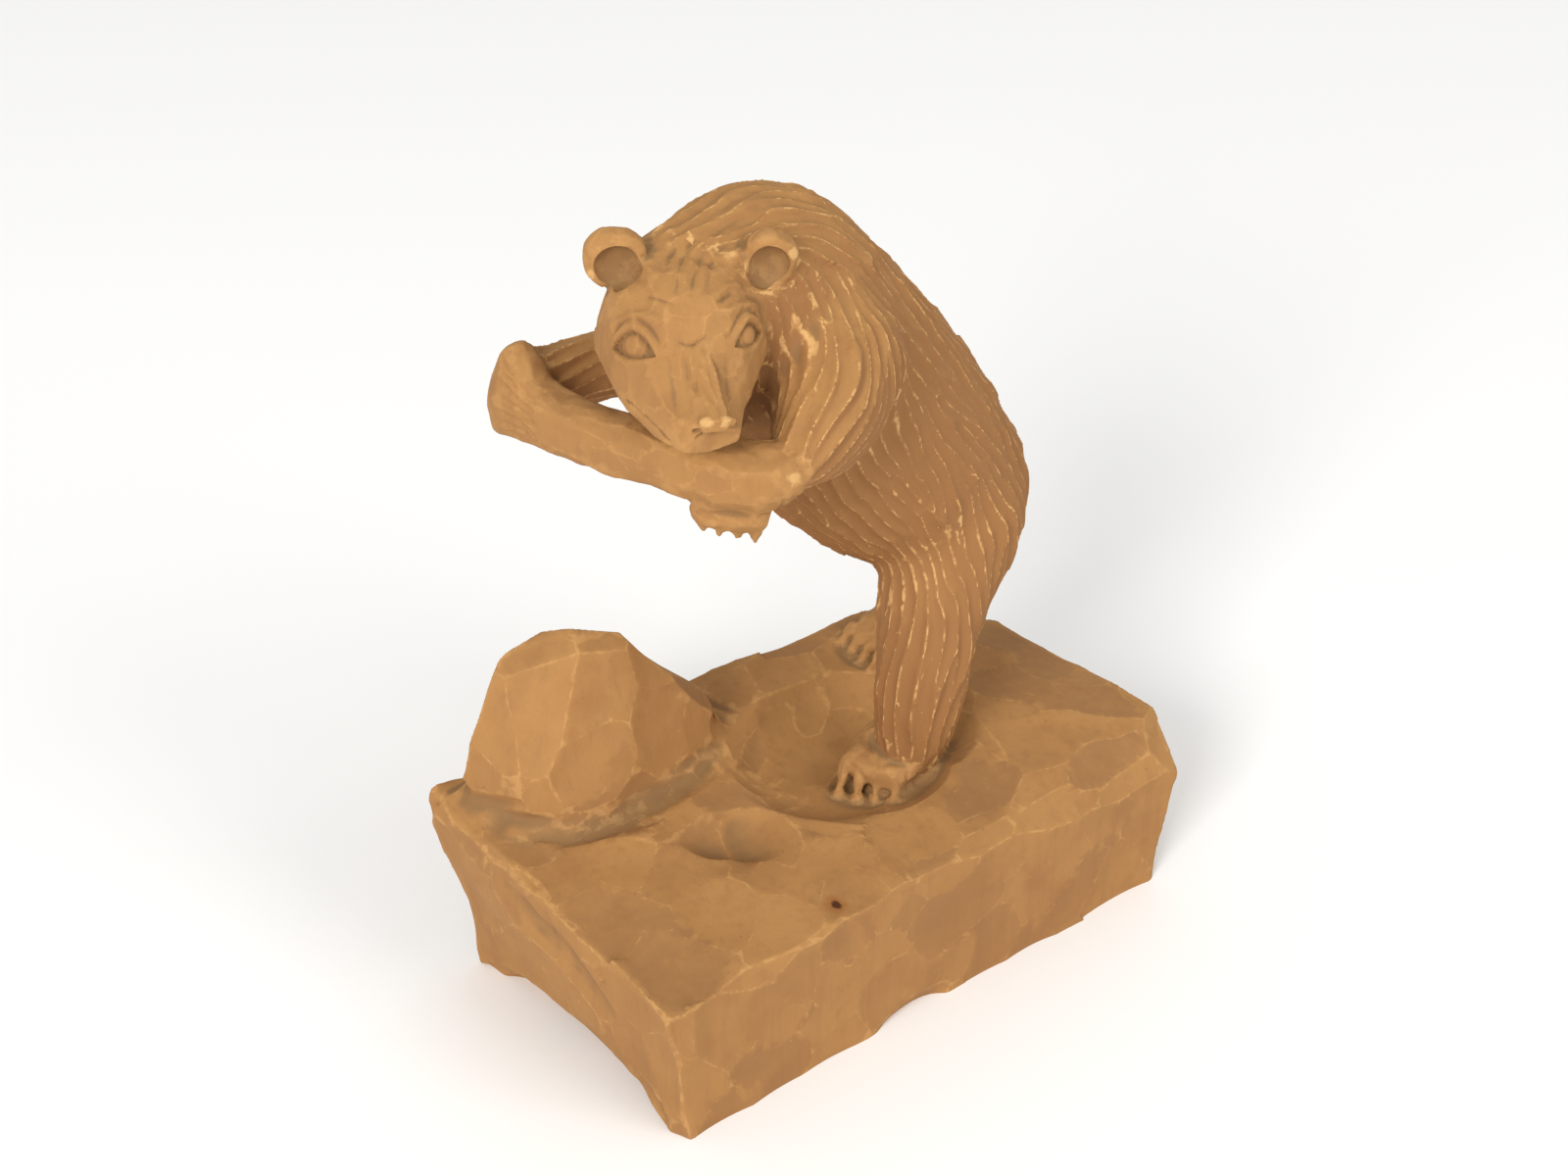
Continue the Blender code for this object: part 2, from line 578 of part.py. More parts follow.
def carve_face(points, skin):
    """Ear cups, bridge, brows, eyes, nostrils, mouth and the tufts between the ears."""
    axes = np.array([FORWARD, LEFT, CROWN])
    for centre, radii in (((-9.2, -14.2, 11.2), (3.8, 4.9, 4.7)), ((-9.2, 15.6, 9.8), (3.8, 4.4, 4.4)),
                          ((22.4, -1.6, -7.2), (2.0, 1.1, 0.9)), ((20.6, 5.6, -7.4), (2.0, 1.1, 0.9))):
        points = press(points, figure_point(*head_point(*centre)), axes, np.array(radii) * FIGURE)
    normals = normals_of(skin, points)
    # paths from the middle between the eyes, with the width and depth of each cut; a ridge is a
    # cut of negative depth
    marks = [
        # the two edges of the bridge and the upper rim of the nose
        ([(7.9, -1.6, 2.5), (13.1, -1.7, -1.1), (19.8, -1.8, -4.3)], 1.0, -0.5),
        ([(7.6, 1.6, 2.4), (12.1, 3.0, -0.6), (16.3, 3.6, -2.4), (21.5, 4.8, -5.2)], 1.0, -0.5),
        # the hollow planes on both sides of it
        ([(8, -5.8, 1.6), (13, -5.6, -2.2), (18.6, -5.4, -6.0)], 3.6, 1.0),
        ([(7.4, 5.6, 1.2), (12, 6.8, -2.0), (17, 7.6, -4.6), (20, 8.4, -7.4)], 3.6, 1.0),
        ([(21.2, -1.8, -4.9), (22.2, 1.4, -4.7), (22.0, 5.0, -5.2)], 1.0, -0.35),
        # brows
        ([(-3, -16.8, 1.8), (-0.2, -13.8, 5.8), (2.6, -9.5, 7.4), (4.3, -7.0, 6.2)], 1.6, -0.9),
        ([(3.0, 6.0, 6.4), (1.4, 7.5, 7.6), (-2.5, 11.5, 6.2), (-5.5, 13.8, 3.4)], 1.5, -0.9),
        ([(-0.8, 4.3, 9.4), (-3.9, 7.4, 9.8), (-5.4, 10.3, 8.4)], 1.3, -0.7),
        # the frown and the nick across the bridge
        ([(-2, -9.5, 9.5), (1.3, -3.7, 8.9)], 1.0, 0.5),
        ([(0, 4.0, 7.6), (-2.6, 7.4, 8.6)], 0.9, 0.5),
        ([(6.7, -3.8, 3.7), (7.2, -0.8, 3.6), (5.5, 2.2, 4.3)], 0.9, 0.6),
        # mouth corner and lips
        ([(6.8, -14.3, -8.6), (10.2, -12.8, -8.3), (15.1, -9.6, -10.0), (19, -5.7, -11.7)], 1.1, 1.1),
        ([(20, -2.5, -8.8), (22, 2, -8.6), (20, 6.5, -8.8)], 0.9, 0.7),
        # tufts
        ([(-0.9, -3.5, 10.2), (-8.9, -1.8, 13), (-17.1, 2.5, 14.7), (-23.2, 9.3, 15.7)], 1.7, 0.9),
        ([(0, -0.9, 9.8), (-7.1, 1.1, 12.5), (-16, 5.1, 13.8), (-22.6, 12.4, 14.6)], 1.7, 0.9),
        ([(-0.4, 2.2, 9.8), (-9.3, 4.7, 12.4), (-17, 9.1, 13.5), (-21.7, 15.4, 13.6)], 1.7, 0.9),
        ([(-4.6, -5.4, 11.7), (-11.1, -3.8, 13.1), (-19.3, 0, 13.5)], 1.6, 0.8)]
    for path, width, depth in marks:
        points = groove(points, normals, head_path(*path), width * FIGURE, depth * FIGURE)
    normals = normals_of(skin, points)
    for right, left, rise_top, drop in (((0, -16.7, -1), (8.1, -8.4, 1.5), 4.4, 1.5),
                                        ((5.6, 7.3, 1.3), (-2.9, 13.6, -1), 3.7, 1.5)):
        corners = head_path(right, left)
        points = carve_eye(points, normals, corners, rise_top * FIGURE, drop * FIGURE, 1.2 * FIGURE)
    return points


def carve_elbow(points, skin):
    """A fan of short strokes on the right elbow."""
    normals = normals_of(skin, points)
    for number in range(9):
        start = figure_point(-67.5, 28, 141.5 + 2.7 * number)
        end = figure_point(-62, 14 + 0.4 * number, 145 + 1.3 * number)
        middle = (start + end) / 2 + np.array([-2, -1, 0]) * FIGURE
        points = groove(points, normals, [start, middle, end], 1.1 * FIGURE, 0.7 * FIGURE)
    return points


def carve_rock(points, skin):
    """The crease under the boulder, the long gouge mark on the -X end and knife nicks in front."""
    normals = normals_of(skin, points)
    crease = [(-71.5, 26, 42), (-60, 14.5, 42), (-48, 12.5, 42), (-38, 11, 42), (-26, 12.5, 42), (-13, 15, 42)]
    marks = [(crease, 2.2, 1.5),
             ([(-76, 19, 38.8), (-76, 6, 35), (-76, -6, 30.4), (-76, -19, 22)], 3.4, 2.2),
             ([(-28, -38, 39), (-24, -40, 33), (-20, -40, 21)], 1.3, 1.5),
             ([(-24.5, -38, 38), (-22, -40, 32), (-20.5, -40, 27)], 1.2, 1.2),
             ([(35, -40, 37), (37, -40, 33), (38, -40, 29)], 1.2, 1.2),
             ([(38.5, -40, 36), (40.5, -40, 32), (41.5, -40, 28)], 1.2, 1.2),
             ([(42, -40, 36), (43.5, -40, 33), (44.5, -40, 29)], 1.2, 1.2)]
    for path, width, depth in marks:
        route = [plinth_point(*place) for place in path]
        points = groove(points, normals, route, width * PLINTH[0], depth * PLINTH[0])
    return points


def carved_skin(voxel, fur_spacing, fur_depth):
    """The whole carving as one closed skin with its relief."""
    random = np.random.default_rng(SEED)
    furry, smooth, rock = body_parts(voxel), smooth_parts(), rock_parts(voxel)
    skin = block_out((furry, smooth, rock), voxel)
    points = relax(points_of(skin), edges_of(skin), 3)
    skin.vertices.foreach_set("co", points.astype(np.float32).ravel())
    face = figure_point(*head_point(6, 0, -3))
    refine(skin, np.linalg.norm(points - face, axis=1) < 21 * FIGURE)
    points = points_of(skin)
    points = carve_face(points, skin)
    points = carve_elbow(points, skin)
    points = carve_rock(points, skin)
    normals = normals_of(skin, points)
    edges = edges_of(skin)
    to_fur, to_smooth, to_rock = (distance_to(part, points) for part in (furry, smooth, rock))
    fur = soft_step(to_smooth - to_fur, -0.5 * FIGURE, 1.5 * FIGURE)
    fur *= soft_step(to_rock - to_fur, 0, 2 * FIGURE)
    stone = soft_step(np.minimum(to_fur, to_smooth) - to_rock, 0, 2 * FIGURE)
    even = normals
    for _ in range(6):
        even = neighbour_mean(even, edges)
    even /= np.linalg.norm(even, axis=1)[:, None]
    lift = np.zeros(len(points))
    chips = chip_cuts(points, even, stone > 0.5, CHIP_WIDTH, CHIP_DEPTH, random)
    some = stone > 0
    lift[some] += stone[some] * gouge(points[some], even[some], chips, 7, 2.5 * CHIP_DEPTH, CHIP_DEPTH)
    locks = fur_cuts(points, even, fur, fur_spacing, fur_depth, random)
    some = fur > 0
    lift[some] += fur[some] * gouge(points[some], even[some], locks, 14, 1.6 * fur_depth, 0.3 * fur_depth)
    points = points + even * lift[:, None]
    skin.vertices.foreach_set("co", points.astype(np.float32).ravel())
    skin.update()
    return skin


def thin_out(piece, triangles):
    """Merges the skin's small faces, saws its underside flat and centres it on the origin."""
    faces = sum(len(face.vertices) - 2 for face in piece.data.polygons)
    fewer = piece.modifiers.new("fewer faces", "DECIMATE")
    fewer.ratio = triangles / faces
    seen = piece.evaluated_get(bpy.context.evaluated_depsgraph_get())
    data = bpy.data.meshes.new_from_object(seen)
    piece.modifiers.remove(fewer)
    mesh = bmesh.new()
    mesh.from_mesh(data)
    everything = mesh.verts[:] + mesh.edges[:] + mesh.faces[:]
    cut = bmesh.ops.bisect_plane(mesh, geom=everything, plane_no=(0, 0, 1), clear_inner=True)
    rim = [item for item in cut["geom_cut"] if isinstance(item, bmesh.types.BMEdge)]
    bmesh.ops.holes_fill(mesh, edges=rim, sides=0)
    bmesh.ops.triangulate(mesh, faces=mesh.faces)
    bmesh.ops.recalc_face_normals(mesh, faces=mesh.faces)
    places = np.array([corner.co[:2] for corner in mesh.verts])
    middle = (places.min(axis=0) + places.max(axis=0)) / 2
    bmesh.ops.translate(mesh, verts=mesh.verts, vec=(-middle[0], -middle[1], 0))
    mesh.to_mesh(data)
    mesh.free()
    piece.data = data


wood = bpy.data.materials.new("stained linden wood")
wood.use_nodes = True
surface = wood.node_tree.nodes["Principled BSDF"]
surface.inputs["Base Color"].default_value = (0.42, 0.19, 0.06, 1)
surface.inputs["Roughness"].default_value = 0.55
surface.inputs["Metallic"].default_value = 0.0

carving = bpy.data.objects.new("carved_bear", carved_skin(VOXEL, FUR_SPACING, FUR_DEPTH))
bpy.context.scene.collection.objects.link(carving)
thin_out(carving, TRIANGLES)
carving.data.materials.clear()
carving.data.materials.append(wood)
carving.data.shade_smooth()
carving.data.set_sharp_from_angle(angle=math.radians(20))
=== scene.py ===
"""A carved wooden bear that leans on its folded arms above a rough rock plinth."""
import math

import bmesh
import bpy
import numpy as np
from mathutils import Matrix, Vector
from mathutils.bvhtree import BVHTree
from mathutils.kdtree import KDTree


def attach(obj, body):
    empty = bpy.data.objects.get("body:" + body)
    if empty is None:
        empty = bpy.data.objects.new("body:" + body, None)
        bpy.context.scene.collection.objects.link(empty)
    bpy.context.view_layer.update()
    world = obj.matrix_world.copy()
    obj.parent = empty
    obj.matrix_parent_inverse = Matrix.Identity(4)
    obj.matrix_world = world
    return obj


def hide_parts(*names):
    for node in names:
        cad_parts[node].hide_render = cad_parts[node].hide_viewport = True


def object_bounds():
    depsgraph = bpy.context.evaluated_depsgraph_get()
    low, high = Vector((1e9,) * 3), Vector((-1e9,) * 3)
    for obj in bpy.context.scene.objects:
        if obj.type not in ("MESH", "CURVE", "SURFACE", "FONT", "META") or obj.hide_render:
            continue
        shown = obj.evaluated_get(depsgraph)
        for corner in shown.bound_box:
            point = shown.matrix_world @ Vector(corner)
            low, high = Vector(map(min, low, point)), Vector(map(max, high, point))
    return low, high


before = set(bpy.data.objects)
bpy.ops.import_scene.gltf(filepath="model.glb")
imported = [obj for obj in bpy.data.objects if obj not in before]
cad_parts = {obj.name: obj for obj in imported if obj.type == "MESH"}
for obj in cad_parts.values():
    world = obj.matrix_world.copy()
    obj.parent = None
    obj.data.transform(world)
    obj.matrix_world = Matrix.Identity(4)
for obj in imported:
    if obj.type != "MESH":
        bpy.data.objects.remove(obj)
cad_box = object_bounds()
cad_middle = (cad_box[0] + cad_box[1]) / 2


# The camera stands at the bear's left front and looks down on it, as for a photograph taken by
# someone who sits at the table.
VIEW_TURN = math.radians(-39.4)
VIEW_RISE = math.radians(32)
VIEW_DISTANCE = 0.6345
VIEW_TARGET = Vector((0.0169, 0.0338, 0.0700))

camera = bpy.data.objects.new("camera", bpy.data.cameras.new("camera"))
bpy.context.scene.collection.objects.link(camera)
bpy.context.scene.camera = camera
away = Vector((math.sin(VIEW_TURN) * math.cos(VIEW_RISE), -math.cos(VIEW_TURN) * math.cos(VIEW_RISE),
               math.sin(VIEW_RISE)))
camera.data.sensor_width = 36
camera.data.lens = 60.75
camera.data.clip_start = 0.01
camera.location = VIEW_TARGET + away * VIEW_DISTANCE
camera.rotation_euler = (-away).to_track_quat("-Z", "Y").to_euler()


# The sawn block: one piece of linden wood, marked out as a plinth with a boulder at one end and
# the bear above it. All its forms are lofts and hulls whose tables are given in millimetres.
PLINTH_LENGTH = 0.160
PLINTH_WIDTH = 0.090
PLINTH_HEIGHT = 0.038
BOULDER_HEIGHT = 0.050
FIGURE_HEIGHT = 0.157
# the bear's tables are for a figure 157 mm tall that stands on a 38 mm plinth
FIGURE = FIGURE_HEIGHT / 157
FIGURE_FOOT = 38
# the rock's tables are for a plinth of 160 by 90 by 38 mm and a boulder 50 mm tall
PLINTH = np.array([PLINTH_LENGTH / 160, PLINTH_WIDTH / 90, PLINTH_HEIGHT / 38])
BOULDER = BOULDER_HEIGHT / 50


def figure_point(x, y, z):
    """A point of the bear's tables in metres."""
    return np.array([x * FIGURE, y * FIGURE, PLINTH_HEIGHT + (z - FIGURE_FOOT) * FIGURE])


def plinth_point(x, y, z):
    """A point of the plinth's tables in metres."""
    return np.array([x, y, z]) * PLINTH


def boulder_point(x, y, z):
    """A point of the boulder's tables in metres; it keeps its place at the plinth's -X end."""
    return np.array([x * PLINTH[0], y * PLINTH[1], PLINTH_HEIGHT + (z - FIGURE_FOOT) * BOULDER])


def smooth_path(stations, steps):
    """Rows of numbers along a Catmull-Rom curve through the stations."""
    rows = np.array(stations, float)
    rows = np.vstack([2 * rows[0] - rows[1], rows, 2 * rows[-1] - rows[-2]])
    path = []
    for a, b, c, d in zip(rows, rows[1:], rows[2:], rows[3:]):
        for step in range(steps):
            t = step / steps
            curve = 2 * b + (c - a) * t + (2 * a - 5 * b + 4 * c - d) * t**2 + (3 * b - a - 3 * c + d) * t**3
            path.append(curve / 2)
    path.append(rows[-2])
    return np.array(path)


def loft(mesh, stations, up, square=2.0, taper=0.0, cap=1.0, sides=24, steps=4):
    """A rounded limb: each station is x, y, z, half width across and half height along `up`.

    `square` over 2 flattens the four sides, `taper` narrows the top, and `cap` is the length of
    the rounded ends as a share of the end's own radius.
    """
    path = smooth_path(stations, steps)
    along = np.gradient(path[:, :3], axis=0)
    along /= np.linalg.norm(along, axis=1)[:, None]
    last = len(path) - 1
    rounds = [k * math.pi / 10 for k in (4, 3, 2, 1)]
    rings = [(0, -math.sin(a), math.cos(a)) for a in rounds]
    rings += [(k, 0.0, 1.0) for k in range(last + 1)]
    rings += [(last, math.sin(a), math.cos(a)) for a in reversed(rounds)]
    loops = []
    for index, reach, shrink in rings:
        x, y, z, wide, tall = path[index][:5]
        side = np.cross(along[index], up)
        side /= np.linalg.norm(side)
        top = np.cross(side, along[index])
        centre = np.array([x, y, z]) + along[index] * reach * cap * min(wide, tall)
        loop = []
        for k in range(sides):
            angle = 2 * math.pi * k / sides
            across = math.copysign(abs(math.cos(angle)) ** (2 / square), math.cos(angle))
            height = math.copysign(abs(math.sin(angle)) ** (2 / square), math.sin(angle))
            across *= 1 - taper * (height + 1) / 2
            point = centre + (side * across * wide + top * height * tall) * shrink
            loop.append(mesh.verts.new(figure_point(*point)))
        loops.append(loop)
    for one, two in zip(loops, loops[1:]):
        for k in range(sides):
            mesh.faces.new((one[k], one[(k + 1) % sides], two[(k + 1) % sides], two[k]))
    mesh.faces.new(reversed(loops[0]))
    mesh.faces.new(loops[-1])


def hull(mesh, points):
    """The convex block around the points, in metres."""
    block = bmesh.new()
    for point in points:
        block.verts.new(point)
    found = bmesh.ops.convex_hull(block, input=block.verts)
    inner = [item for item in found["geom_interior"] if isinstance(item, bmesh.types.BMVert)]
    bmesh.ops.delete(block, geom=inner, context="VERTS")
    data = bpy.data.meshes.new("block")
    block.to_mesh(data)
    block.free()
    mesh.from_mesh(data)
    bpy.data.meshes.remove(data)


# The furry forms: torso, neck, upper arms and hind legs, as overlapping rounded limbs of the same
# wood. The carver later covers them with fur strokes.
def furry_parts():
    """Torso, neck, upper arms and hind legs."""
    mesh = bmesh.new()
    loft(mesh, [(41, 8, 103, 22.5, 21.5), (29, 8, 114, 24.5, 26.5), (13, 8, 132, 25.3, 29),
                (-3, 8, 151, 25.8, 28.8), (-14, 6, 165, 23.8, 27)], (0.8, 0, 0.6), cap=0.75, sides=28)
    loft(mesh, [(-12, 6, 168, 21, 23.5), (-22, 4, 172, 20, 22), (-33, 2, 174.5, 17, 17.5)], (0, 0, 1))
    # left hind leg
    loft(mesh, [(37, -3, 102, 14.5, 17.5), (27.5, -6, 86, 13.6, 14), (23, -8, 74, 12, 11.6),
                (21.5, -8, 62, 10.5, 11.5), (20.5, -7.5, 50, 9, 9.5), (20.5, -5.5, 44, 8.5, 8.5)], (1, 0, 0))
    # right hind leg
    loft(mesh, [(48, 18, 98, 14, 16), (50, 24, 84, 12, 13), (52, 27, 72, 10.5, 10.5),
                (51, 27, 60, 9, 9.5), (49, 27, 52, 9, 9)], (1, 0, 0))
    # left upper arm, shoulder to elbow
    loft(mesh, [(2, 0, 152, 15, 16), (-6, -9, 156, 15, 17), (-16, -19, 155, 12.5, 14.5),
                (-27, -26, 151.5, 9, 10), (-35.5, -29.5, 149.8, 5.4, 5.8)], (0, 0, 1))
    # right upper arm, shoulder to elbow
    loft(mesh, [(-8, 24, 150, 11, 12), (-28, 28, 150, 8.5, 9), (-46, 29, 151.5, 7, 8),
                (-58, 27, 153, 6, 9)], (0, 0, 1))
    return mesh


# The smooth forms: head, ears, forearms, paws and feet, which are cut with a knife. The head turns
# to the bear's left and rests on the forearms. It has its own axes: forward along the snout, to the
# bear's left and up, from the middle between the eyes.
HEAD_TURN = math.radians(237)
HEAD_NOD = math.radians(5)
EYES = np.array([-44.6, -12.0, 174.5])
LEVEL = np.array([math.cos(HEAD_TURN), math.sin(HEAD_TURN), 0.0])
UPRIGHT = np.array([0.0, 0.0, 1.0])
FORWARD = LEVEL * math.cos(HEAD_NOD) - UPRIGHT * math.sin(HEAD_NOD)
LEFT = np.cross(UPRIGHT, LEVEL)
CROWN = np.cross(FORWARD, LEFT)


def head_point(forward, left, up):
    """A point given from the middle between the eyes, in the tables' millimetres."""
    return EYES + FORWARD * forward + LEFT * left + CROWN * up


def head_loft(mesh, stations, **shape):
    """A loft along the snout: each station is forward, left, half width, top and bottom."""
    rows = []
    for forward, left, wide, top, bottom in stations:
        rows.append((*head_point(forward, left, (top + bottom) / 2), wide, (top - bottom) / 2))
    loft(mesh, rows, CROWN, **shape)


def smooth_parts():
    """Head, ears, forearms, paws and feet."""
    mesh = bmesh.new()
    head_loft(mesh, [(-27, 0, 15, 9, -12), (-18, -1, 18.4, 13, -14), (-10, -1.8, 19.6, 13, -15),
                     (-4, -2, 19, 10.5, -15.2), (1, -2, 17.4, 6.2, -15.2), (6, -1.6, 15, 2, -15),
                     (11, -0.8, 12, -1, -14.8), (16, 0.6, 9, -3.2, -14.5), (19, 1.6, 7, -4.6, -14)],
              square=2.6, taper=0.3, cap=0.2, sides=32)
    # the flat bridge of the snout and the nose
    head_loft(mesh, [(-6, 0, 5, 11.5, 0), (1, 0, 2.4, 5.4, -2), (8, 0.6, 2.4, 1.6, -5),
                     (15, 1.5, 2.6, -2, -8), (20, 2.1, 3, -4, -9)], square=5, cap=0.05, steps=3)
    head_loft(mesh, [(17, 2.2, 3.8, -3.8, -8.4), (21.8, 2.4, 3.9, -4.3, -8)], square=4, cap=0.1, steps=2)
    for left, up, size in ((-14.4, 11.4, 6.4), (15.8, 10.0, 5.9)):
        head_loft(mesh, [(-14.6, left, size, up + size, up - size), (-12, left, size, up + size, up - size)],
                  cap=0.35)
    # left forearm, elbow to throat
    loft(mesh, [(-37, -32.5, 150, 4.2, 4.4), (-37.5, -28.5, 149, 6, 6.6), (-41, -20, 148, 6.5, 7),
                (-43, -6, 151, 6.5, 7)], (0, 0, 1), cap=0.6)
    # right forearm, elbow to wrist
    loft(mesh, [(-60.8, 28.2, 152.6, 5.2, 12.2), (-59.5, 18, 150, 5.8, 7.2), (-55, 1, 149.7, 6, 6.4),
                (-50, -14, 150, 6.3, 6.5), (-45.5, -22.5, 149, 6.6, 6.6), (-40.5, -27.5, 148.4, 6, 6)],
         (0, 0, 1), square=2.4)
    # right paw, hanging
    loft(mesh, [(-41, -20, 147, 8.4, 5.5), (-43.5, -21.6, 143, 8.6, 5.2), (-45.4, -22.9, 138.8, 7.8, 4.2)],
         (-0.6, -0.7, -0.2), square=2.6, cap=0.5)
    # feet
    loft(mesh, [(25, -0.5, 43.5, 8.4, 5.2), (18, -3.5, 43.6, 9.4, 5.4), (10.5, -5.3, 42.6, 9, 4.2)],
         (0, 0, 1), square=2.6)
    loft(mesh, [(50, 27, 52, 8.5, 5), (43, 27, 52, 8.5, 4.5), (38, 27, 51, 7.5, 3.5)], (0, 0, 1))
    for number in range(4):
        share = number / 3
        claw(mesh, (6.8 + 6.5 * share, 0.6 - 11.6 * share, 43.2), (-4.2, -2.6, -4.4))
        claw(mesh, (37, 33 - 12 * share, 52), (-4, -0.6, -2.2))
        claw(mesh, (-48.9 + 8.2 * share, -19.4 - 6.7 * share, 140.2 - 2.4 * share), (-0.8, -0.3, -3.2))
    return mesh


def claw(mesh, root, reach):
    """A short blunt claw that tapers from its root."""
    x, y, z = root
    dx, dy, dz = reach
    loft(mesh, [(x, y, z, 1.7, 1.9), (x + dx * 0.6, y + dy * 0.6, z + dz * 0.4, 1.5, 1.6),
                (x + dx, y + dy, z + dz, 0.8, 0.9)], (0.3, 0.2, 1), sides=10, steps=2)


# The rock: a plinth that is wider at its rim than at its foot, with a boulder at one end. Bear and
# rock are one piece of wood, so all forms are joined in one closed skin, whose edges are worn round.
EDGE_WEAR = 0.0024
MUSCLE_WEAR = 0.0045
# the forms are rounded on a coarser grid than the skin's, by this factor
ROUGH_GRID = 1.4


def rock_blocks():
    """The plinth, wider at its rim than at its foot, and the boulder at its -X end."""
    mesh = bmesh.new()
    foot = [(-72, -40, -3), (72, -40, -3), (72, 40, -3), (-72, 40, -3)]
    rim = [(-76.5, -40.5, 36), (-60, -40, 38), (-26, -40.5, 39), (17, -39.5, 36.6), (50, -38.5, 36.6),
           (79.5, -40.5, 30), (81.5, -27, 43.5), (77, 25, 43.5), (47, 41, 50.5), (20, 42, 51.5),
           (-5, 43, 52.5), (-80.5, 45, 52), (-81.5, 45, 44), (-79, 10, 42.5)]
    hull(mesh, [plinth_point(*point) for point in foot + rim])
    stone = [(-76, 37, 60), (-73.5, 37, 69), (-69, 37, 78), (-62, 38, 85), (-50, 32, 88), (-50, 24, 87),
             (-40, 30, 86), (-38, 22, 83.5), (-15, 30, 60), (-14, 18, 56), (-8, 20, 44), (-10, 40, 46),
             (-60, 13, 42), (-74, 26, 42), (-77, 35, 50), (-38, 12, 42), (-67, 18, 58), (-45, 14, 62),
             (-70, 43, 40)]
    hull(mesh, [boulder_point(*point) for point in stone])
    return mesh


def block_out(parts, voxel):
    """One closed skin around all parts."""
    data = bpy.data.meshes.new("block_out")
    joined = bmesh.new()
    for part in parts:
        part_data = bpy.data.meshes.new("part")
        bmesh.ops.recalc_face_normals(part, faces=part.faces)
        part.to_mesh(part_data)
        joined.from_mesh(part_data)
        bpy.data.meshes.remove(part_data)
    joined.to_mesh(data)
    joined.free()
    piece = bpy.data.objects.new("block_out", data)
    bpy.context.scene.collection.objects.link(piece)
    remesh = piece.modifiers.new("one skin", "REMESH")
    remesh.mode = "VOXEL"
    remesh.voxel_size = voxel
    seen = piece.evaluated_get(bpy.context.evaluated_depsgraph_get())
    skin = bpy.data.meshes.new_from_object(seen)
    bpy.data.objects.remove(piece)
    return skin


def points_of(skin):
    """The skin's vertices as an array."""
    flat = np.empty(len(skin.vertices) * 3, np.float32)
    skin.vertices.foreach_get("co", flat)
    return flat.reshape(-1, 3).astype(float)


def normals_of(skin, points):
    """The skin's vertex normals once its vertices are at `points`."""
    skin.vertices.foreach_set("co", points.astype(np.float32).ravel())
    skin.update()
    flat = np.empty(len(skin.vertices) * 3, np.float32)
    skin.vertex_normals.foreach_get("vector", flat)
    return flat.reshape(-1, 3).astype(float)


def edges_of(skin):
    """The skin's edges as pairs of vertex numbers."""
    flat = np.empty(len(skin.edges) * 2, np.int32)
    skin.edges.foreach_get("vertices", flat)
    return flat.reshape(-1, 2)


def neighbour_mean(values, edges):
    """The mean of each vertex's neighbours."""
    one, two = edges.T
    count = len(values)
    total = np.stack([np.bincount(one, column[two], count) + np.bincount(two, column[one], count)
                      for column in values.T], 1)
    return total / np.bincount(edges.ravel(), minlength=count)[:, None]


def relax(points, edges, rounds):
    """Smooths the skin without shrinking it."""
    for _ in range(rounds):
        for share in (0.5, -0.53):
            points = points + share * (neighbour_mean(points, edges) - points)
    return points


def soft_step(values, low, high):
    """0 below low, 1 above high and smooth between."""
    share = np.clip((values - low) / (high - low), 0, 1)
    return share * share * (3 - 2 * share)


def press(points, centre, axes, radii):
    """Pushes what lies inside an ellipsoid out to its surface, which leaves a smooth hollow."""
    local = (points - centre) @ axes.T / radii
    reach = np.linalg.norm(local, axis=1)
    inside = (reach < 1) & (reach > 1e-6)
    local[inside] /= reach[inside, None]
    moved = points.copy()
    moved[inside] = centre + (local[inside] * radii) @ axes
    return moved


def worn_down(blocks, voxel, wear, hollows=()):
    """One skin around the blocks, pressed in at its hollows and rounded over about `wear` metres."""
    skin = block_out((blocks,), voxel)
    points = points_of(skin)
    for place, radii in hollows:
        points = press(points, plinth_point(*place), np.eye(3), np.array(radii) * PLINTH)
    edges = edges_of(skin)
    for _ in range(int((wear / voxel) ** 2)):
        points = neighbour_mean(points, edges)
    skin.vertices.foreach_set("co", points.astype(np.float32).ravel())
    mesh = bmesh.new()
    mesh.from_mesh(skin)
    bpy.data.meshes.remove(skin)
    return mesh


def body_parts(voxel):
    """The furry parts, with the muscles flowing into each other."""
    return worn_down(furry_parts(), ROUGH_GRID * voxel, MUSCLE_WEAR)


def rock_parts(voxel):
    """The rock with its large hollows: around the feet, under the -X end and along the front."""
    hollows = [((11, -1, 60), (40, 30, 22.5)), ((-78, 1, -9), (16, 38, 17)), ((-6, -46, -3), (14, 10, 9)),
               ((-32, -8, 66), (24, 20, 25))]
    return worn_down(rock_blocks(), ROUGH_GRID * voxel, EDGE_WEAR, hollows)


# Knife work in the same skin: ear cups, brows, eyes, nose and mouth, the strokes on the elbow, the
# crease under the boulder, a long gouge mark and some nicks. Each mark follows a path on the skin.
def tree_of(points):
    """A search tree over points."""
    tree = KDTree(len(points))
    for index, point in enumerate(points):
        tree.insert(point, index)
    tree.balance()
    return tree


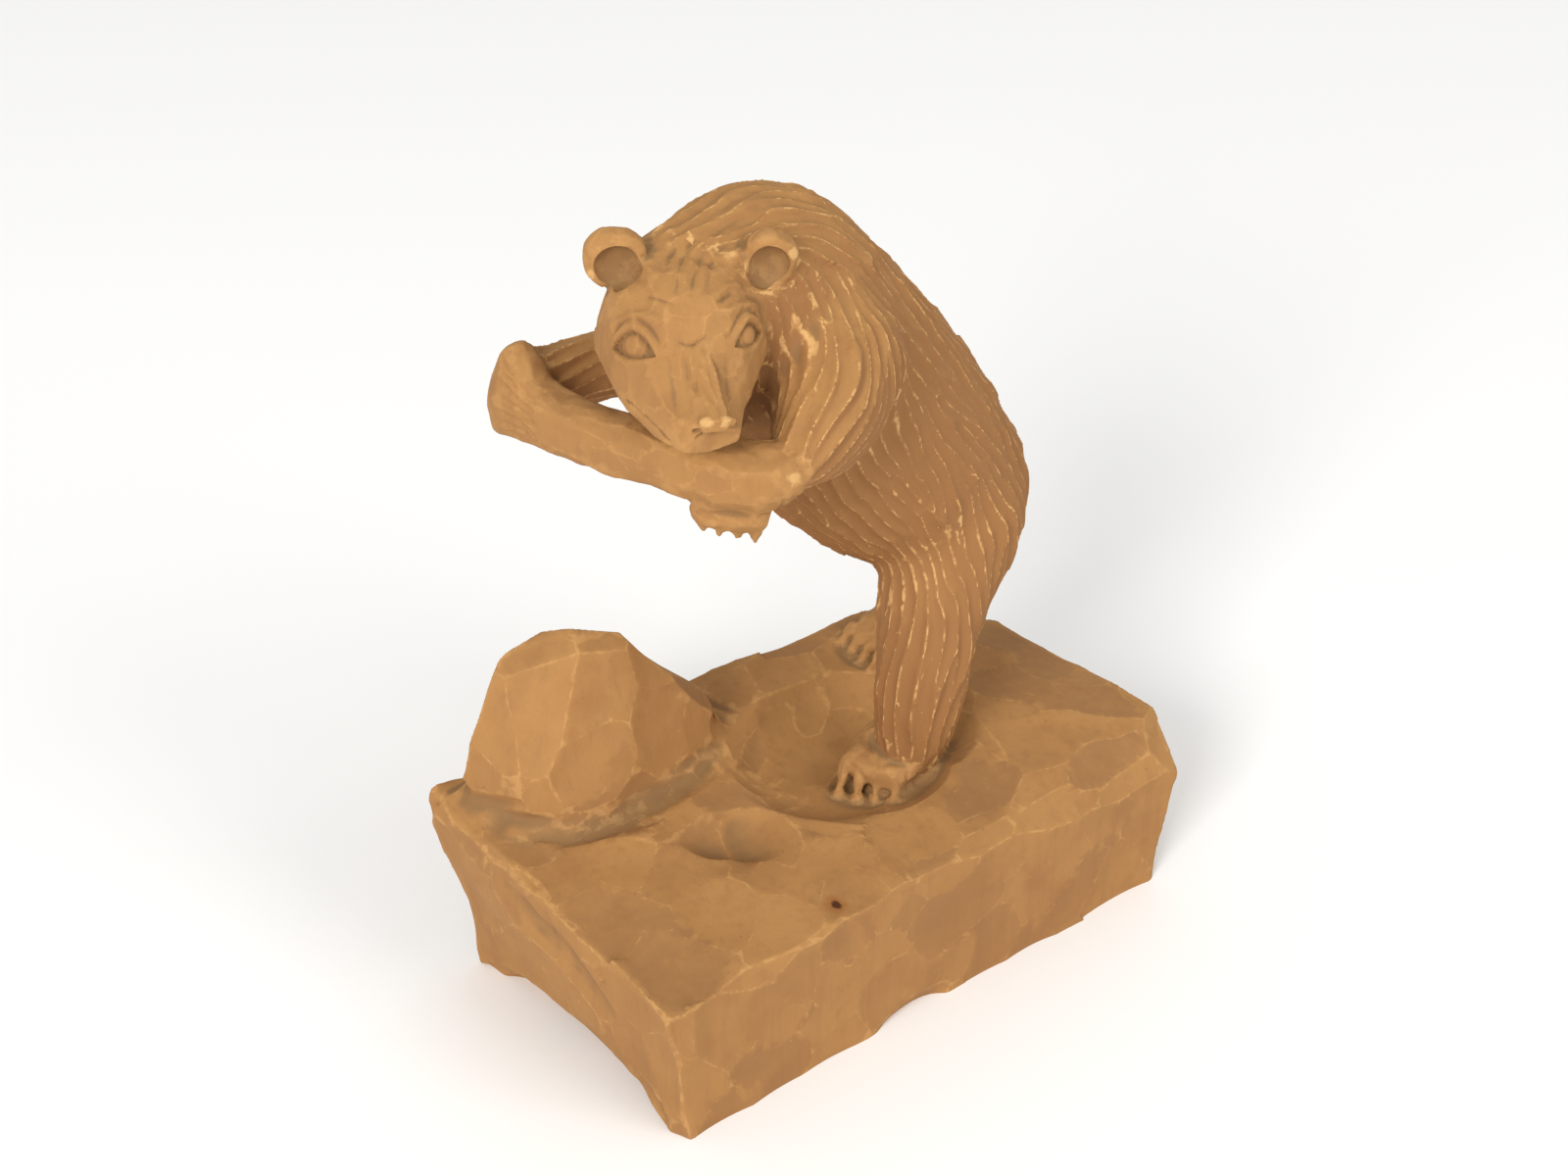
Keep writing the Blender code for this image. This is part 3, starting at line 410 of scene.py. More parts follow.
def groove(points, normals, path, width, depth):
    """Cuts a tapering groove along a path, or raises a ridge where depth is negative."""
    route = smooth_path(path, 8)
    tree = tree_of(points)
    route = np.array([tree.find(point)[0] for point in route])
    middle = route.mean(0)
    reach = np.linalg.norm(route - middle, axis=1).max() + width
    near = np.flatnonzero(np.linalg.norm(points - middle, axis=1) < reach)
    start, end = route[:-1], route[1:]
    run = end - start
    length = np.maximum((run * run).sum(1), 1e-12)
    offset = points[near][:, None] - start
    share = np.clip((offset * run).sum(2) / length, 0, 1)
    gap = np.linalg.norm(offset - share[:, :, None] * run, axis=2)
    closest = gap.argmin(1)
    rows = np.arange(len(near))
    gap = gap[rows, closest]
    along = (closest + share[rows, closest]) / len(run)
    fade = np.sqrt(np.clip(4 * along * (1 - along), 0, 1))
    amount = depth * fade * np.clip(1 - gap / width, 0, 1) ** 1.3
    moved = points.copy()
    moved[near] -= normals[near] * amount[:, None]
    return moved


def carve_eye(points, normals, corners, rise_top, drop, depth):
    """An almond socket with a round eyeball, an incised iris, a raised upper lid and its fold."""
    right, left = corners
    middle = (right + left) / 2
    half_long = np.linalg.norm(left - right) / 2
    centre = points[np.linalg.norm(points - middle, axis=1).argmin()]
    near = np.linalg.norm(points - centre, axis=1)
    out = normals[near < half_long * 0.8].mean(0)
    out /= np.linalg.norm(out)
    across = left - right
    across -= out * (across @ out)
    across /= np.linalg.norm(across)
    rise = np.cross(out, across)
    if rise[2] < 0:
        rise = -rise
    local = points - centre
    a = local @ across
    b = local @ rise
    arch = np.clip(1 - np.abs(a / half_long) ** 1.8, 0, 1)
    inner = np.minimum(rise_top * arch - b, b + drop * arch)
    socket = soft_step(inner, 0, depth * 0.55)
    radius = 0.56 * (rise_top + drop)
    from_pupil = np.hypot(a, b - (rise_top - drop) / 2)
    ball = np.sqrt(np.clip(1 - (from_pupil / radius) ** 2, 0, 1))
    ring = np.exp(-((from_pupil - 0.72 * radius) / (0.16 * radius)) ** 2)
    beyond = -inner / depth
    above = soft_step(b, 0, rise_top) * (np.abs(a) < 1.15 * half_long)
    lid = above * np.exp(-((beyond - 0.7) / 0.6) ** 2)
    fold = above * np.exp(-((beyond - 1.9) / 0.45) ** 2)
    low_lid = (b < 0) * (np.abs(a) < half_long) * np.exp(-((beyond - 0.5) / 0.4) ** 2)
    amount = socket * depth * (1.15 * ball - 0.35 * ring - 1.1)
    amount += (1 - socket) * depth * (0.45 * lid - 0.35 * fold + 0.2 * low_lid)
    amount *= near < half_long * 2
    return points + out * amount[:, None]


def refine(skin, chosen):
    """Halves the skin's faces between the chosen vertices."""
    mesh = bmesh.new()
    mesh.from_mesh(skin)
    fine = [edge for edge in mesh.edges if chosen[edge.verts[0].index] and chosen[edge.verts[1].index]]
    bmesh.ops.subdivide_edges(mesh, edges=fine, cuts=1, use_grid_fill=True)
    bmesh.ops.triangulate(mesh, faces=mesh.faces)
    mesh.to_mesh(skin)
    mesh.free()


def head_path(*places):
    """A path given from the middle between the eyes."""
    return [figure_point(*head_point(*place)) for place in places]


def carve_face(points, skin):
    """Ear cups, bridge, brows, eyes, nostrils, mouth and the tufts between the ears."""
    axes = np.array([FORWARD, LEFT, CROWN])
    for centre, radii in (((-9.2, -14.2, 11.2), (3.8, 4.9, 4.7)), ((-9.2, 15.6, 9.8), (3.8, 4.4, 4.4)),
                          ((22.4, -1.6, -7.2), (2.0, 1.1, 0.9)), ((20.6, 5.6, -7.4), (2.0, 1.1, 0.9))):
        points = press(points, figure_point(*head_point(*centre)), axes, np.array(radii) * FIGURE)
    normals = normals_of(skin, points)
    # paths from the middle between the eyes, with the width and depth of each cut; a ridge is a
    # cut of negative depth
    marks = [
        # the two edges of the bridge
        ([(7.9, -1.6, 2.5), (13.1, -1.7, -1.1), (19.8, -1.8, -4.3)], 1.0, -0.5),
        ([(7.6, 1.6, 2.4), (12.1, 3.0, -0.6), (16.3, 3.6, -2.4), (21.5, 4.8, -5.2)], 1.0, -0.5),
        # the hollow planes on both sides of it
        ([(8, -5.8, 1.6), (13, -5.6, -2.2), (18.6, -5.4, -6.0)], 3.6, 1.0),
        ([(7.4, 5.6, 1.2), (12, 6.8, -2.0), (17, 7.6, -4.6), (20, 8.4, -7.4)], 3.6, 1.0),
        # the upper rim of the nose
        ([(21.2, -1.8, -4.9), (22.2, 1.4, -4.7), (22.0, 5.0, -5.2)], 1.0, -0.35),
        # brows
        ([(-3, -16.8, 1.8), (-0.2, -13.8, 5.8), (2.6, -9.5, 7.4), (4.3, -7.0, 6.2)], 1.6, -0.9),
        ([(3.0, 6.0, 6.4), (1.4, 7.5, 7.6), (-2.5, 11.5, 6.2), (-5.5, 13.8, 3.4)], 1.5, -0.9),
        ([(-0.8, 4.3, 9.4), (-3.9, 7.4, 9.8), (-5.4, 10.3, 8.4)], 1.3, -0.7),
        # the frown and the nick across the bridge
        ([(-2, -9.5, 9.5), (1.3, -3.7, 8.9)], 1.0, 0.5),
        ([(0, 4.0, 7.6), (-2.6, 7.4, 8.6)], 0.9, 0.5),
        ([(6.7, -3.8, 3.7), (7.2, -0.8, 3.6), (5.5, 2.2, 4.3)], 0.9, 0.6),
        # mouth corner and lips
        ([(6.8, -14.3, -8.6), (10.2, -12.8, -8.3), (15.1, -9.6, -10.0), (19, -5.7, -11.7)], 1.1, 1.1),
        ([(20, -2.5, -8.8), (22, 2, -8.6), (20, 6.5, -8.8)], 0.9, 0.7),
        # tufts
        ([(-0.9, -3.5, 10.2), (-8.9, -1.8, 13), (-17.1, 2.5, 14.7), (-23.2, 9.3, 15.7)], 1.7, 0.9),
        ([(0, -0.9, 9.8), (-7.1, 1.1, 12.5), (-16, 5.1, 13.8), (-22.6, 12.4, 14.6)], 1.7, 0.9),
        ([(-0.4, 2.2, 9.8), (-9.3, 4.7, 12.4), (-17, 9.1, 13.5), (-21.7, 15.4, 13.6)], 1.7, 0.9),
        ([(-4.6, -5.4, 11.7), (-11.1, -3.8, 13.1), (-19.3, 0, 13.5)], 1.6, 0.8)]
    for path, width, depth in marks:
        points = groove(points, normals, head_path(*path), width * FIGURE, depth * FIGURE)
    normals = normals_of(skin, points)
    for right, left, rise_top, drop in (((0, -16.7, -1), (8.1, -8.4, 1.5), 4.4, 1.5),
                                        ((5.6, 7.3, 1.3), (-2.9, 13.6, -1), 3.7, 1.5)):
        corners = head_path(right, left)
        points = carve_eye(points, normals, corners, rise_top * FIGURE, drop * FIGURE, 1.2 * FIGURE)
    return points


def carve_elbow(points, skin):
    """A fan of nine short strokes on the right elbow."""
    normals = normals_of(skin, points)
    for number in range(9):
        start = figure_point(-67.5, 28, 141.5 + 2.7 * number)
        end = figure_point(-62, 14 + 0.4 * number, 145 + 1.3 * number)
        middle = (start + end) / 2 + np.array([-2, -1, 0]) * FIGURE
        points = groove(points, normals, [start, middle, end], 1.1 * FIGURE, 0.7 * FIGURE)
    return points


def carve_rock(points, skin):
    """The crease under the boulder, the long gouge mark on the -X end and knife nicks in front."""
    normals = normals_of(skin, points)
    crease = [(-71.5, 26, 42), (-60, 14.5, 42), (-48, 12.5, 42), (-38, 11, 42), (-26, 12.5, 42),
              (-13, 15, 42)]
    marks = [(crease, 2.2, 1.5),
             ([(-76, 19, 38.8), (-76, 6, 35), (-76, -6, 30.4), (-76, -19, 22)], 3.4, 2.2),
             ([(-28, -38, 39), (-24, -40, 33), (-20, -40, 21)], 1.3, 1.5),
             ([(-24.5, -38, 38), (-22, -40, 32), (-20.5, -40, 27)], 1.2, 1.2),
             ([(35, -40, 37), (37, -40, 33), (38, -40, 29)], 1.2, 1.2),
             ([(38.5, -40, 36), (40.5, -40, 32), (41.5, -40, 28)], 1.2, 1.2),
             ([(42, -40, 36), (43.5, -40, 33), (44.5, -40, 29)], 1.2, 1.2)]
    for path, width, depth in marks:
        route = [plinth_point(*place) for place in path]
        points = groove(points, normals, route, width * PLINTH[0], depth * PLINTH[0])
    return points


# The facets: each is one shallow scoop of a wide gouge or a flat knife cut, and neighbours meet in
# a ridge. The skin goes down to the lowest scoop that lies over it.
CHIP_WIDTH = 0.0125
CHIP_DEPTH = 0.0014
CHIP_WEAR = 0.00030


def scoop(points, normals, cuts, strokes, choices, deepest, highest):
    """Each point's way along its normal, the cut that it lies in, how far the ridge to the next
    stroke is, and how sharp that ridge is."""
    centre, along, out, depth, long_radius, cross_radius = cuts
    across = np.cross(out, along)
    tree = tree_of(centre)
    near = np.array([[hit[1] for hit in tree.find_n(point, choices)] for point in points])
    offset = points[:, None] - centre[near]
    height = (offset * out[near]).sum(2)
    run = (offset * along[near]).sum(2)
    side = (offset * across[near]).sum(2)
    dish = run**2 / (2 * long_radius[near]) + side**2 / (2 * cross_radius[near]) - depth[near]
    # a cut beyond an inner corner fades out, or it would slice into the far side
    fade = np.clip(1 - height / deepest, 0, 1)
    lift = np.where((normals[:, None] * out[near]).sum(2) > 0.35, (dish - height) * fade, highest)
    lowest = lift.argmin(1)
    rows = np.arange(len(points))
    cut = near[rows, lowest]
    least = lift[rows, lowest]
    others = np.where(strokes[near] == strokes[cut][:, None], highest * 9, lift)
    next_lowest = others.argmin(1)
    lean = out[near] - along[near] * (run / long_radius[near])[..., None]
    lean -= across[near] * (side / cross_radius[near])[..., None]
    keen = np.linalg.norm(lean[rows, lowest] - lean[rows, next_lowest], axis=1)
    far = (others[rows, next_lowest] - least) / np.maximum(keen, 0.02)
    return np.clip(least, -deepest, highest), cut, far, keen


class Spread:
    """Remembers where cuts lie, to keep them apart."""

    def __init__(self, spacing):
        self.spacing = spacing
        self.cells = {}

    def cell(self, point):
        return tuple(int(math.floor(value / self.spacing)) for value in point)

    def add(self, point):
        self.cells.setdefault(self.cell(point), []).append(point)

    def crowded(self, point, gap):
        x, y, z = self.cell(point)
        for i in (-1, 0, 1):
            for j in (-1, 0, 1):
                for k in (-1, 0, 1):
                    for other in self.cells.get((x + i, y + j, z + k), ()):
                        if math.dist(point, other) < gap:
                            return True
        return False


def chip_cuts(points, normals, mask, width, depth, random):
    """Nearly flat knife facets of mixed sizes over the masked skin."""
    spread = Spread(width)
    chosen = []
    for index in random.permutation(np.flatnonzero(mask))[:30000]:
        if not spread.crowded(points[index], width * random.uniform(0.62, 1.0)):
            spread.add(tuple(points[index]))
            chosen.append(index)
    out = normals[chosen]
    lean = random.normal(size=out.shape) * 0.085
    out = out + lean
    out /= np.linalg.norm(out, axis=1)[:, None]
    along = np.cross(out, random.normal(size=out.shape))
    along /= np.linalg.norm(along, axis=1)[:, None]
    count = len(chosen)
    cross_radius = width**2 / (2.6 * depth) * random.uniform(0.8, 1.6, count)
    long_radius = cross_radius * random.uniform(1.5, 3.0, count)
    return points[chosen], along, out, depth * random.uniform(0.4, 1.3, count), long_radius, cross_radius


# The fur: long strokes of a narrow veiner that follow the body from the head to the feet, each one
# a row of scoops. They leave thin ridges, which wear pale.
FUR_SPACING = 0.0032
FUR_DEPTH = 0.00075
FUR_WEAR = 0.00022

# lines along the fur: those of the flank are mirrored about the body's middle, and the right leg
# and arm have their own
MIDDLE = 8
FLOW = [
    [(-38, 2, 191), (-18, 3, 196), (1, 4, 187), (17, 4, 172), (41, 5, 143), (61, 5, 114), (67, 4, 92),
     (62, 4, 80)],
    [(-20, -12, 184), (0, -15, 172), (20, -17, 150), (38, -17, 124), (50, -15, 100), (44, -14, 82)],
    [(-4, -17, 160), (5, -18, 140), (20, -17, 120), (33, -17, 98), (33, -16, 80), (27, -14, 60),
     (24, -13, 44)],
    [(-6, -16, 142), (-1, -15, 124), (9, -14, 108), (14, -14, 92), (14, -14, 74), (14, -13, 58),
     (13, -13, 44)],
    [(0, -18, 174), (-12, -27, 166), (-24, -33, 158), (-35, -36, 150)],
    [(-18, -20, 150), (-28, -28, 143), (-35, -33, 144)],
    [(-8, 8, 130), (0, 8, 112), (15, 8, 96), (24, 8, 82)],
]
FAR_LIMBS = [
    [(50, 37, 100), (54, 38, 80), (53, 37, 66), (50, 36, 54)],
    [(38, 27, 88), (42, 27, 70), (41, 27, 55)],
    [(-12, 38, 160), (-30, 37, 158), (-48, 36, 158), (-62, 33, 156)],
    [(-20, 30, 142), (-40, 30, 146), (-58, 28, 148)],
]


def flow_of(points, normals, reach):
    """The fur's direction along the skin at each point."""
    strokes = [list(stroke) for stroke in FLOW]
    strokes += [[(x, 2 * MIDDLE - y, z) for x, y, z in stroke] for stroke in FLOW[1:4]]
    strokes += FAR_LIMBS
    total = np.zeros_like(points)
    for stroke in strokes:
        line = smooth_path([figure_point(*point) for point in stroke], 5)
        course = np.gradient(line, axis=0)
        course /= np.linalg.norm(course, axis=1)[:, None]
        for place, way in zip(line, course):
            weight = np.exp(-((points - place) ** 2).sum(1) / reach**2) + 1e-12
            total += weight[:, None] * way
    turn = 0.16 * np.sin(points @ (np.array([0.21, 0.16, 0.13]) / FIGURE))
    turn += 0.10 * np.sin(points @ (np.array([-0.33, 0.42, 0.3]) / FIGURE) + 1.0)
    total -= normals * (total * normals).sum(1)[:, None]
    total /= np.linalg.norm(total, axis=1)[:, None] + 1e-12
    return total * np.cos(turn)[:, None] + np.cross(normals, total) * np.sin(turn)[:, None]


def fur_cuts(points, normals, mask, spacing, depth, random):
    """Long veiner strokes along the fur's flow, each fading in and out."""
    flow = flow_of(points, normals, 16 * FIGURE)
    tree = tree_of(points)
    spread = Spread(spacing)
    step = spacing * 0.34
    rows = []

    def walk(index, sign, limit):
        """Follows the flow from a vertex until the fur ends or other strokes crowd it."""
        place = points[index]
        way = flow[index] * sign
        line = []
        for _ in range(limit):
            _, index, _ = tree.find(place + way * step)
            place = place + way * step
            place = place - normals[index] * ((place - points[index]) @ normals[index])
            if mask[index] < 0.5 or spread.crowded(place, spacing * 0.62):
                break
            way = flow[index] * sign
            line.append((place, way * sign, normals[index]))
        return line

    for index in random.permutation(np.flatnonzero(mask > 0.5))[:40000]:
        if spread.crowded(points[index], spacing * 0.92):
            continue
        limit = int(random.uniform(6, 26))
        line = walk(index, -1, limit)[::-1] + [(points[index], flow[index], normals[index])]
        line += walk(index, 1, limit)
        if len(line) < 4:
            continue
        strength = depth * random.uniform(0.7, 1.2)
        for number, (place, way, out) in enumerate(line):
            spread.add(tuple(place))
            share = 2 * (number + 0.5) / len(line) - 1
            rows.append((*place, *way, *out, strength * (1 - 0.75 * share**4)))
    rows = np.array(rows)
    cross_radius = np.full(len(rows), spacing**2 / (7 * depth))
    return rows[:, :3], rows[:, 3:6], rows[:, 6:9], rows[:, 9], np.full(len(rows), 1e3), cross_radius


# The finished carving: the blocked-out skin is faceted, carved and covered with fur, then thinned
# to a mesh that stands flat on the table. What the stain, the wear and the painted shade follow is
# kept in attributes.
VOXEL = 0.00056
TRIANGLES = 196000
SEED = 11
# knife cuts on the smooth forms
CUT_WIDTH = 0.0074
CUT_DEPTH = 0.00042
CUT_WEAR = 0.00030
# the finer triangles around the face, in the tables' millimetres
FACE_REACH = 19
# how many of the nearest cuts can reach a point; a stroke of fur is a row of many
NEAR_CUTS = 8
NEAR_STROKES = 24
# a ridge further off than this many widths of wear counts as far away
FAR_OFF = 60
# fur strokes that meet at less than this angle, in radians, leave no ridge to wear
BLUNT = 0.14


def distance_to(part, points):
    """Each point's distance to a part's surface."""
    tree = BVHTree.FromBMesh(part)
    return np.array([tree.find_nearest(Vector(point))[3] for point in points])


def averaged(values, edges, rounds):
    """Values replaced by their neighbours' mean over and over."""
    for _ in range(rounds):
        values = neighbour_mean(values, edges)
    return values


def smoothed(normals, edges, rounds):
    """Normals evened out, each of length 1."""
    normals = averaged(normals, edges, rounds)
    return normals / np.linalg.norm(normals, axis=1)[:, None]


random = np.random.default_rng(SEED)
furry, smooth, rock = body_parts(VOXEL), smooth_parts(), rock_parts(VOXEL)
skin = block_out((furry, smooth, rock), VOXEL)
points = relax(points_of(skin), edges_of(skin), 6)
skin.vertices.foreach_set("co", points.astype(np.float32).ravel())
face = figure_point(*head_point(6, 0, -3))
refine(skin, np.linalg.norm(points - face, axis=1) < FACE_REACH * FIGURE)
points = points_of(skin)
edges = edges_of(skin)
to_fur, to_smooth, to_rock = (distance_to(part, points) for part in (furry, smooth, rock))
fur = soft_step(to_smooth - to_fur, -0.5 * FIGURE, 1.5 * FIGURE) * soft_step(to_rock - to_fur, 0, 2 * FIGURE)
stone = soft_step(np.minimum(to_fur, to_smooth) - to_rock, 0, 2 * FIGURE)
lift = np.zeros(len(points))
ridge = np.full(len(points), float(FAR_OFF))
tint = np.zeros(len(points))

# flat knife cuts on the head and the limbs come first, and the features are cut through them
even = smoothed(normals_of(skin, points), edges, 8)
knifed = (1 - fur) * (1 - stone)
cuts = chip_cuts(points, even, knifed > 0.5, CUT_WIDTH, CUT_DEPTH, random)
cut_tint = random.uniform(0, 1, len(cuts[0]))
some = knifed > 0
down, cut, far, keen = scoop(points[some], even[some], cuts, np.arange(len(cuts[0])), NEAR_CUTS,
                             2 * CUT_DEPTH, 0.6 * CUT_DEPTH)
points[some] += even[some] * (knifed[some] * down)[:, None]
# the worn line along a ridge is wider where the ridge is sharper
ridge[some] = np.minimum(far / (CUT_WEAR * (0.2 + 2.0 * keen)), FAR_OFF)
tint[some] = knifed[some] * cut_tint[cut]

points = carve_face(points, skin)
points = carve_elbow(points, skin)
points = carve_rock(points, skin)
even = smoothed(normals_of(skin, points), edges, 12)

# wide gouge facets on the rock; they don't reach into tight corners such as the crease under the
# boulder
sunk = ((averaged(points, edges, 14) - points) * even).sum(1) / VOXEL
corner = (soft_step(sunk, 0.25, 0.8) * stone)[:, None]
corner = averaged(corner, edges, 5)[:, 0]
stone *= 1 - corner
chips = chip_cuts(points, even, stone > 0.5, CHIP_WIDTH, CHIP_DEPTH, random)
chip_tint = random.uniform(0, 1, len(chips[0]))
some = stone > 0
down, cut, far, keen = scoop(points[some], even[some], chips, np.arange(len(chips[0])), NEAR_CUTS,
                             2.5 * CHIP_DEPTH, CHIP_DEPTH)
lift[some] += stone[some] * down
ridge[some] = np.minimum(ridge[some], far / (CHIP_WEAR * (0.3 + 2.0 * keen)))
tint[some] += stone[some] * chip_tint[cut]

# the fur; scoops that follow each other closely belong to one stroke
strokes = fur_cuts(points, even, fur, FUR_SPACING, FUR_DEPTH, random)
jump = np.linalg.norm(np.diff(strokes[0], axis=0), axis=1) > 0.5 * FUR_SPACING
stroke = np.concatenate([[0], np.cumsum(jump)])
some = fur > 0
down, cut, far, keen = scoop(points[some], even[some], strokes, stroke, NEAR_STROKES, 1.6 * FUR_DEPTH,
                             0.5 * FUR_DEPTH)
lift[some] += fur[some] * down
far += 9 * FUR_SPACING * (keen < BLUNT)
ridge[some] = np.minimum(ridge[some], far / (FUR_WEAR * (0.4 + 0.6 * keen)))

points = points + even * lift[:, None]
points = points + (averaged(points, edges, 6) - points) * np.clip(1.5 * corner, 0, 1)[:, None]
skin.vertices.foreach_set("co", points.astype(np.float32).ravel())
skin.update()

# hollows and bumps of a few millimetres, from how far the skin lies under or above its surroundings
hollow = ((averaged(points, edges, 30) - points) * even).sum(1) / VOXEL
# the face has smaller triangles, which the same number of rounds smooths less far
in_face = soft_step(np.linalg.norm(points - face, axis=1), (FACE_REACH + 1) * FIGURE, (FACE_REACH - 2) * FIGURE)
hollow *= 1 + 0.7 * in_face

carving = bpy.data.objects.new("bear_carving", skin)
bpy.context.scene.collection.objects.link(carving)
thinner = carving.modifiers.new("fewer faces", "DECIMATE")
thinner.ratio = TRIANGLES / sum(len(face.vertices) - 2 for face in skin.polygons)
seen = carving.evaluated_get(bpy.context.evaluated_depsgraph_get())
data = bpy.data.meshes.new_from_object(seen)
carving.modifiers.remove(thinner)
mesh = bmesh.new()
mesh.from_mesh(data)
cut = bmesh.ops.bisect_plane(mesh, geom=mesh.verts[:] + mesh.edges[:] + mesh.faces[:], plane_no=(0, 0, 1),
                             clear_inner=True)
rim = [item for item in cut["geom_cut"] if isinstance(item, bmesh.types.BMEdge)]
bmesh.ops.holes_fill(mesh, edges=rim, sides=0)
bmesh.ops.triangulate(mesh, faces=mesh.faces)
bmesh.ops.recalc_face_normals(mesh, faces=mesh.faces)
mesh.to_mesh(data)
mesh.free()
carving.data = data

# the thinned mesh takes its attributes from the nearest points, and its place from the CAD part
tree = tree_of(points)
places = points_of(data)
closest = np.array([tree.find(place)[1] for place in places])
for name, values in (("fur", fur), ("stone", stone), ("ridge", ridge), ("tint", tint), ("hollow", hollow)):
    attribute = data.attributes.new(name, "FLOAT", "POINT")
    attribute.data.foreach_set("value", values[closest].astype(np.float32))
shift = np.append(cad_middle[:2] - (places.min(0) + places.max(0))[:2] / 2, 0)
places += shift
data.vertices.foreach_set("co", places.astype(np.float32).ravel())
data.update()
data.shade_smooth()
data.set_sharp_from_angle(angle=math.radians(50))


# The stain: a thin orange-brown coat that the linden takes up unevenly, darker in the deep cuts from
# stain and painted shade, with painted shade on the upright sides, and worn to pale wood on the
# ridges, under a greyish film of dust and wax. All of it is procedural.
class Value:
    """A number in the shader that adds a Math node for each operation written on it."""

    def __init__(self, paint, socket):
        self.paint = paint
        self.socket = socket

    def maths(self, operation, *others):
        """A Math node on the given values."""
        node = self.paint.node("ShaderNodeMath", {"operation": operation}, dict(enumerate(others)))
        return Value(self.paint, node.outputs[0])

    def __add__(self, other):
        return self.maths("ADD", self, other)

    def __sub__(self, other):
        return self.maths("SUBTRACT", self, other)

    def __rsub__(self, other):
        return self.maths("SUBTRACT", other, self)

    def __mul__(self, other):
        return self.maths("MULTIPLY", self, other)

    def step(self, low, high):
        """0 below low, 1 above high, smooth between; low may be the higher of the two."""
        node = self.paint.node("ShaderNodeMapRange", {"interpolation_type": "SMOOTHSTEP"},
                               {"Value": self, "From Min": low, "From Max": high})
        return Value(self.paint, node.outputs["Result"])

    __radd__ = __add__
    __rmul__ = __mul__


class Paint:
    """A material's nodes."""

    def __init__(self, name):
        self.material = bpy.data.materials.new(name)
        self.material.use_nodes = True
        self.tree = self.material.node_tree
        self.surface = self.tree.nodes["Principled BSDF"]

    def node(self, kind, settings, sockets):
        """A node with its settings, then its sockets' values or links."""
        node = self.tree.nodes.new(kind)
        for name, value in settings.items():
            setattr(node, name, value)
        for name, value in sockets.items():
            self.feed(node.inputs[name], value)
        return node

    def feed(self, socket, value):
        """Links a socket to a value in the shader, or sets it to a constant."""
        if isinstance(value, Value):
            self.tree.links.new(value.socket, socket)
        elif isinstance(value, bpy.types.NodeSocket):
            self.tree.links.new(value, socket)
        else:
            socket.default_value = value

    def place(self, scale=(1, 1, 1), shift=(0, 0, 0)):
        """Object coordinates in millimetres, stretched by `scale`."""
        where = self.node("ShaderNodeTexCoord", {}, {})
        node = self.node("ShaderNodeMapping", {}, {"Vector": where.outputs["Object"], "Location": shift,
                                                   "Scale": [1000 * share for share in scale]})
        return node.outputs["Vector"]

    def noise(self, size, scale=(1, 1, 1), shift=(0, 0, 0), detail=3.0, rough=0.55):
        """Noise from 0 to 1 with blotches about `size` millimetres wide."""
        node = self.node("ShaderNodeTexNoise", {}, {"Vector": self.place(scale, shift), "Scale": 1 / size,
                                                    "Detail": detail, "Roughness": rough})
        return Value(self, node.outputs["Fac"])

    def away_from(self, x, y, z):
        """The distance to a point, in millimetres."""
        node = self.node("ShaderNodeVectorMath", {"operation": "DISTANCE"}, {0: self.place(), 1: (x, y, z)})
        return Value(self, node.outputs["Value"])

    def attribute(self, name):
        """One of the mesh's own attributes."""
        node = self.node("ShaderNodeAttribute", {"attribute_name": name}, {})
        return Value(self, node.outputs["Fac"])

    def blend(self, share, one, two):
        """Colour `one` where the share is 0 and `two` where it is 1."""
        node = self.node("ShaderNodeMix", {"data_type": "RGBA"}, {"Factor": share})
        self.feed(node.inputs[6], one)
        self.feed(node.inputs[7], two)
        return node.outputs[2]

    def lumps(self, height, distance, strength, below=None):
        """A bumped normal, on top of another where `below` is given."""
        node = self.node("ShaderNodeBump", {}, {"Strength": strength, "Distance": distance, "Height": height})
        if below:
            self.tree.links.new(below, node.inputs["Normal"])
        return node.outputs["Normal"]


STAIN = (0.410, 0.156, 0.028, 1)
STAIN_WARM = (0.340, 0.106, 0.013, 1)
STAIN_RED = (0.250, 0.080, 0.018, 1)
# a deep stain colour, used for the painted shade in the hollows as well as for flecks of dirt
DEEP_STAIN_AND_SHADE = (0.075, 0.022, 0.005, 1)
STAIN_THIN = (0.510, 0.220, 0.050, 1)
# the colour of painted shade and warm bounce light on the upright sides
PAINTED_SIDE_SHADE = (0.290, 0.078, 0.006, 1)
BARE_WOOD = (0.740, 0.460, 0.190, 1)
DUST = (0.260, 0.178, 0.088, 1)
FILM = 0.5
KNOT = (0.050, 0.015, 0.008, 1)
# small knots, with their radii in millimetres
KNOTS = [((-26.0, -36.5, 39.0), 1.7), ((-15.0, 20.0, 55.0), 1.6), ((47.0, -37.0, 22.0), 1.2)]
# places rubbed down to the wood: the nose, the left elbow, the ears' rims and a corner of the plinth
RUBBED = [(head_point(22, 0.2, -4.8), 1.6), (head_point(21.5, 3.8, -5.2), 1.4), ((-38.0, -34.5, 151.0), 2.0),
          (head_point(-11, 20.5, 12), 1.4), (head_point(-11, -19.6, 9), 1.2), ((-72.0, -41.0, 36.0), 2.2)]

paint = Paint("stained linden wood")
on_fur = paint.attribute("fur")
on_stone = paint.attribute("stone")
on_ridge = paint.attribute("ridge")
facet = paint.attribute("tint")
depth = paint.attribute("hollow")

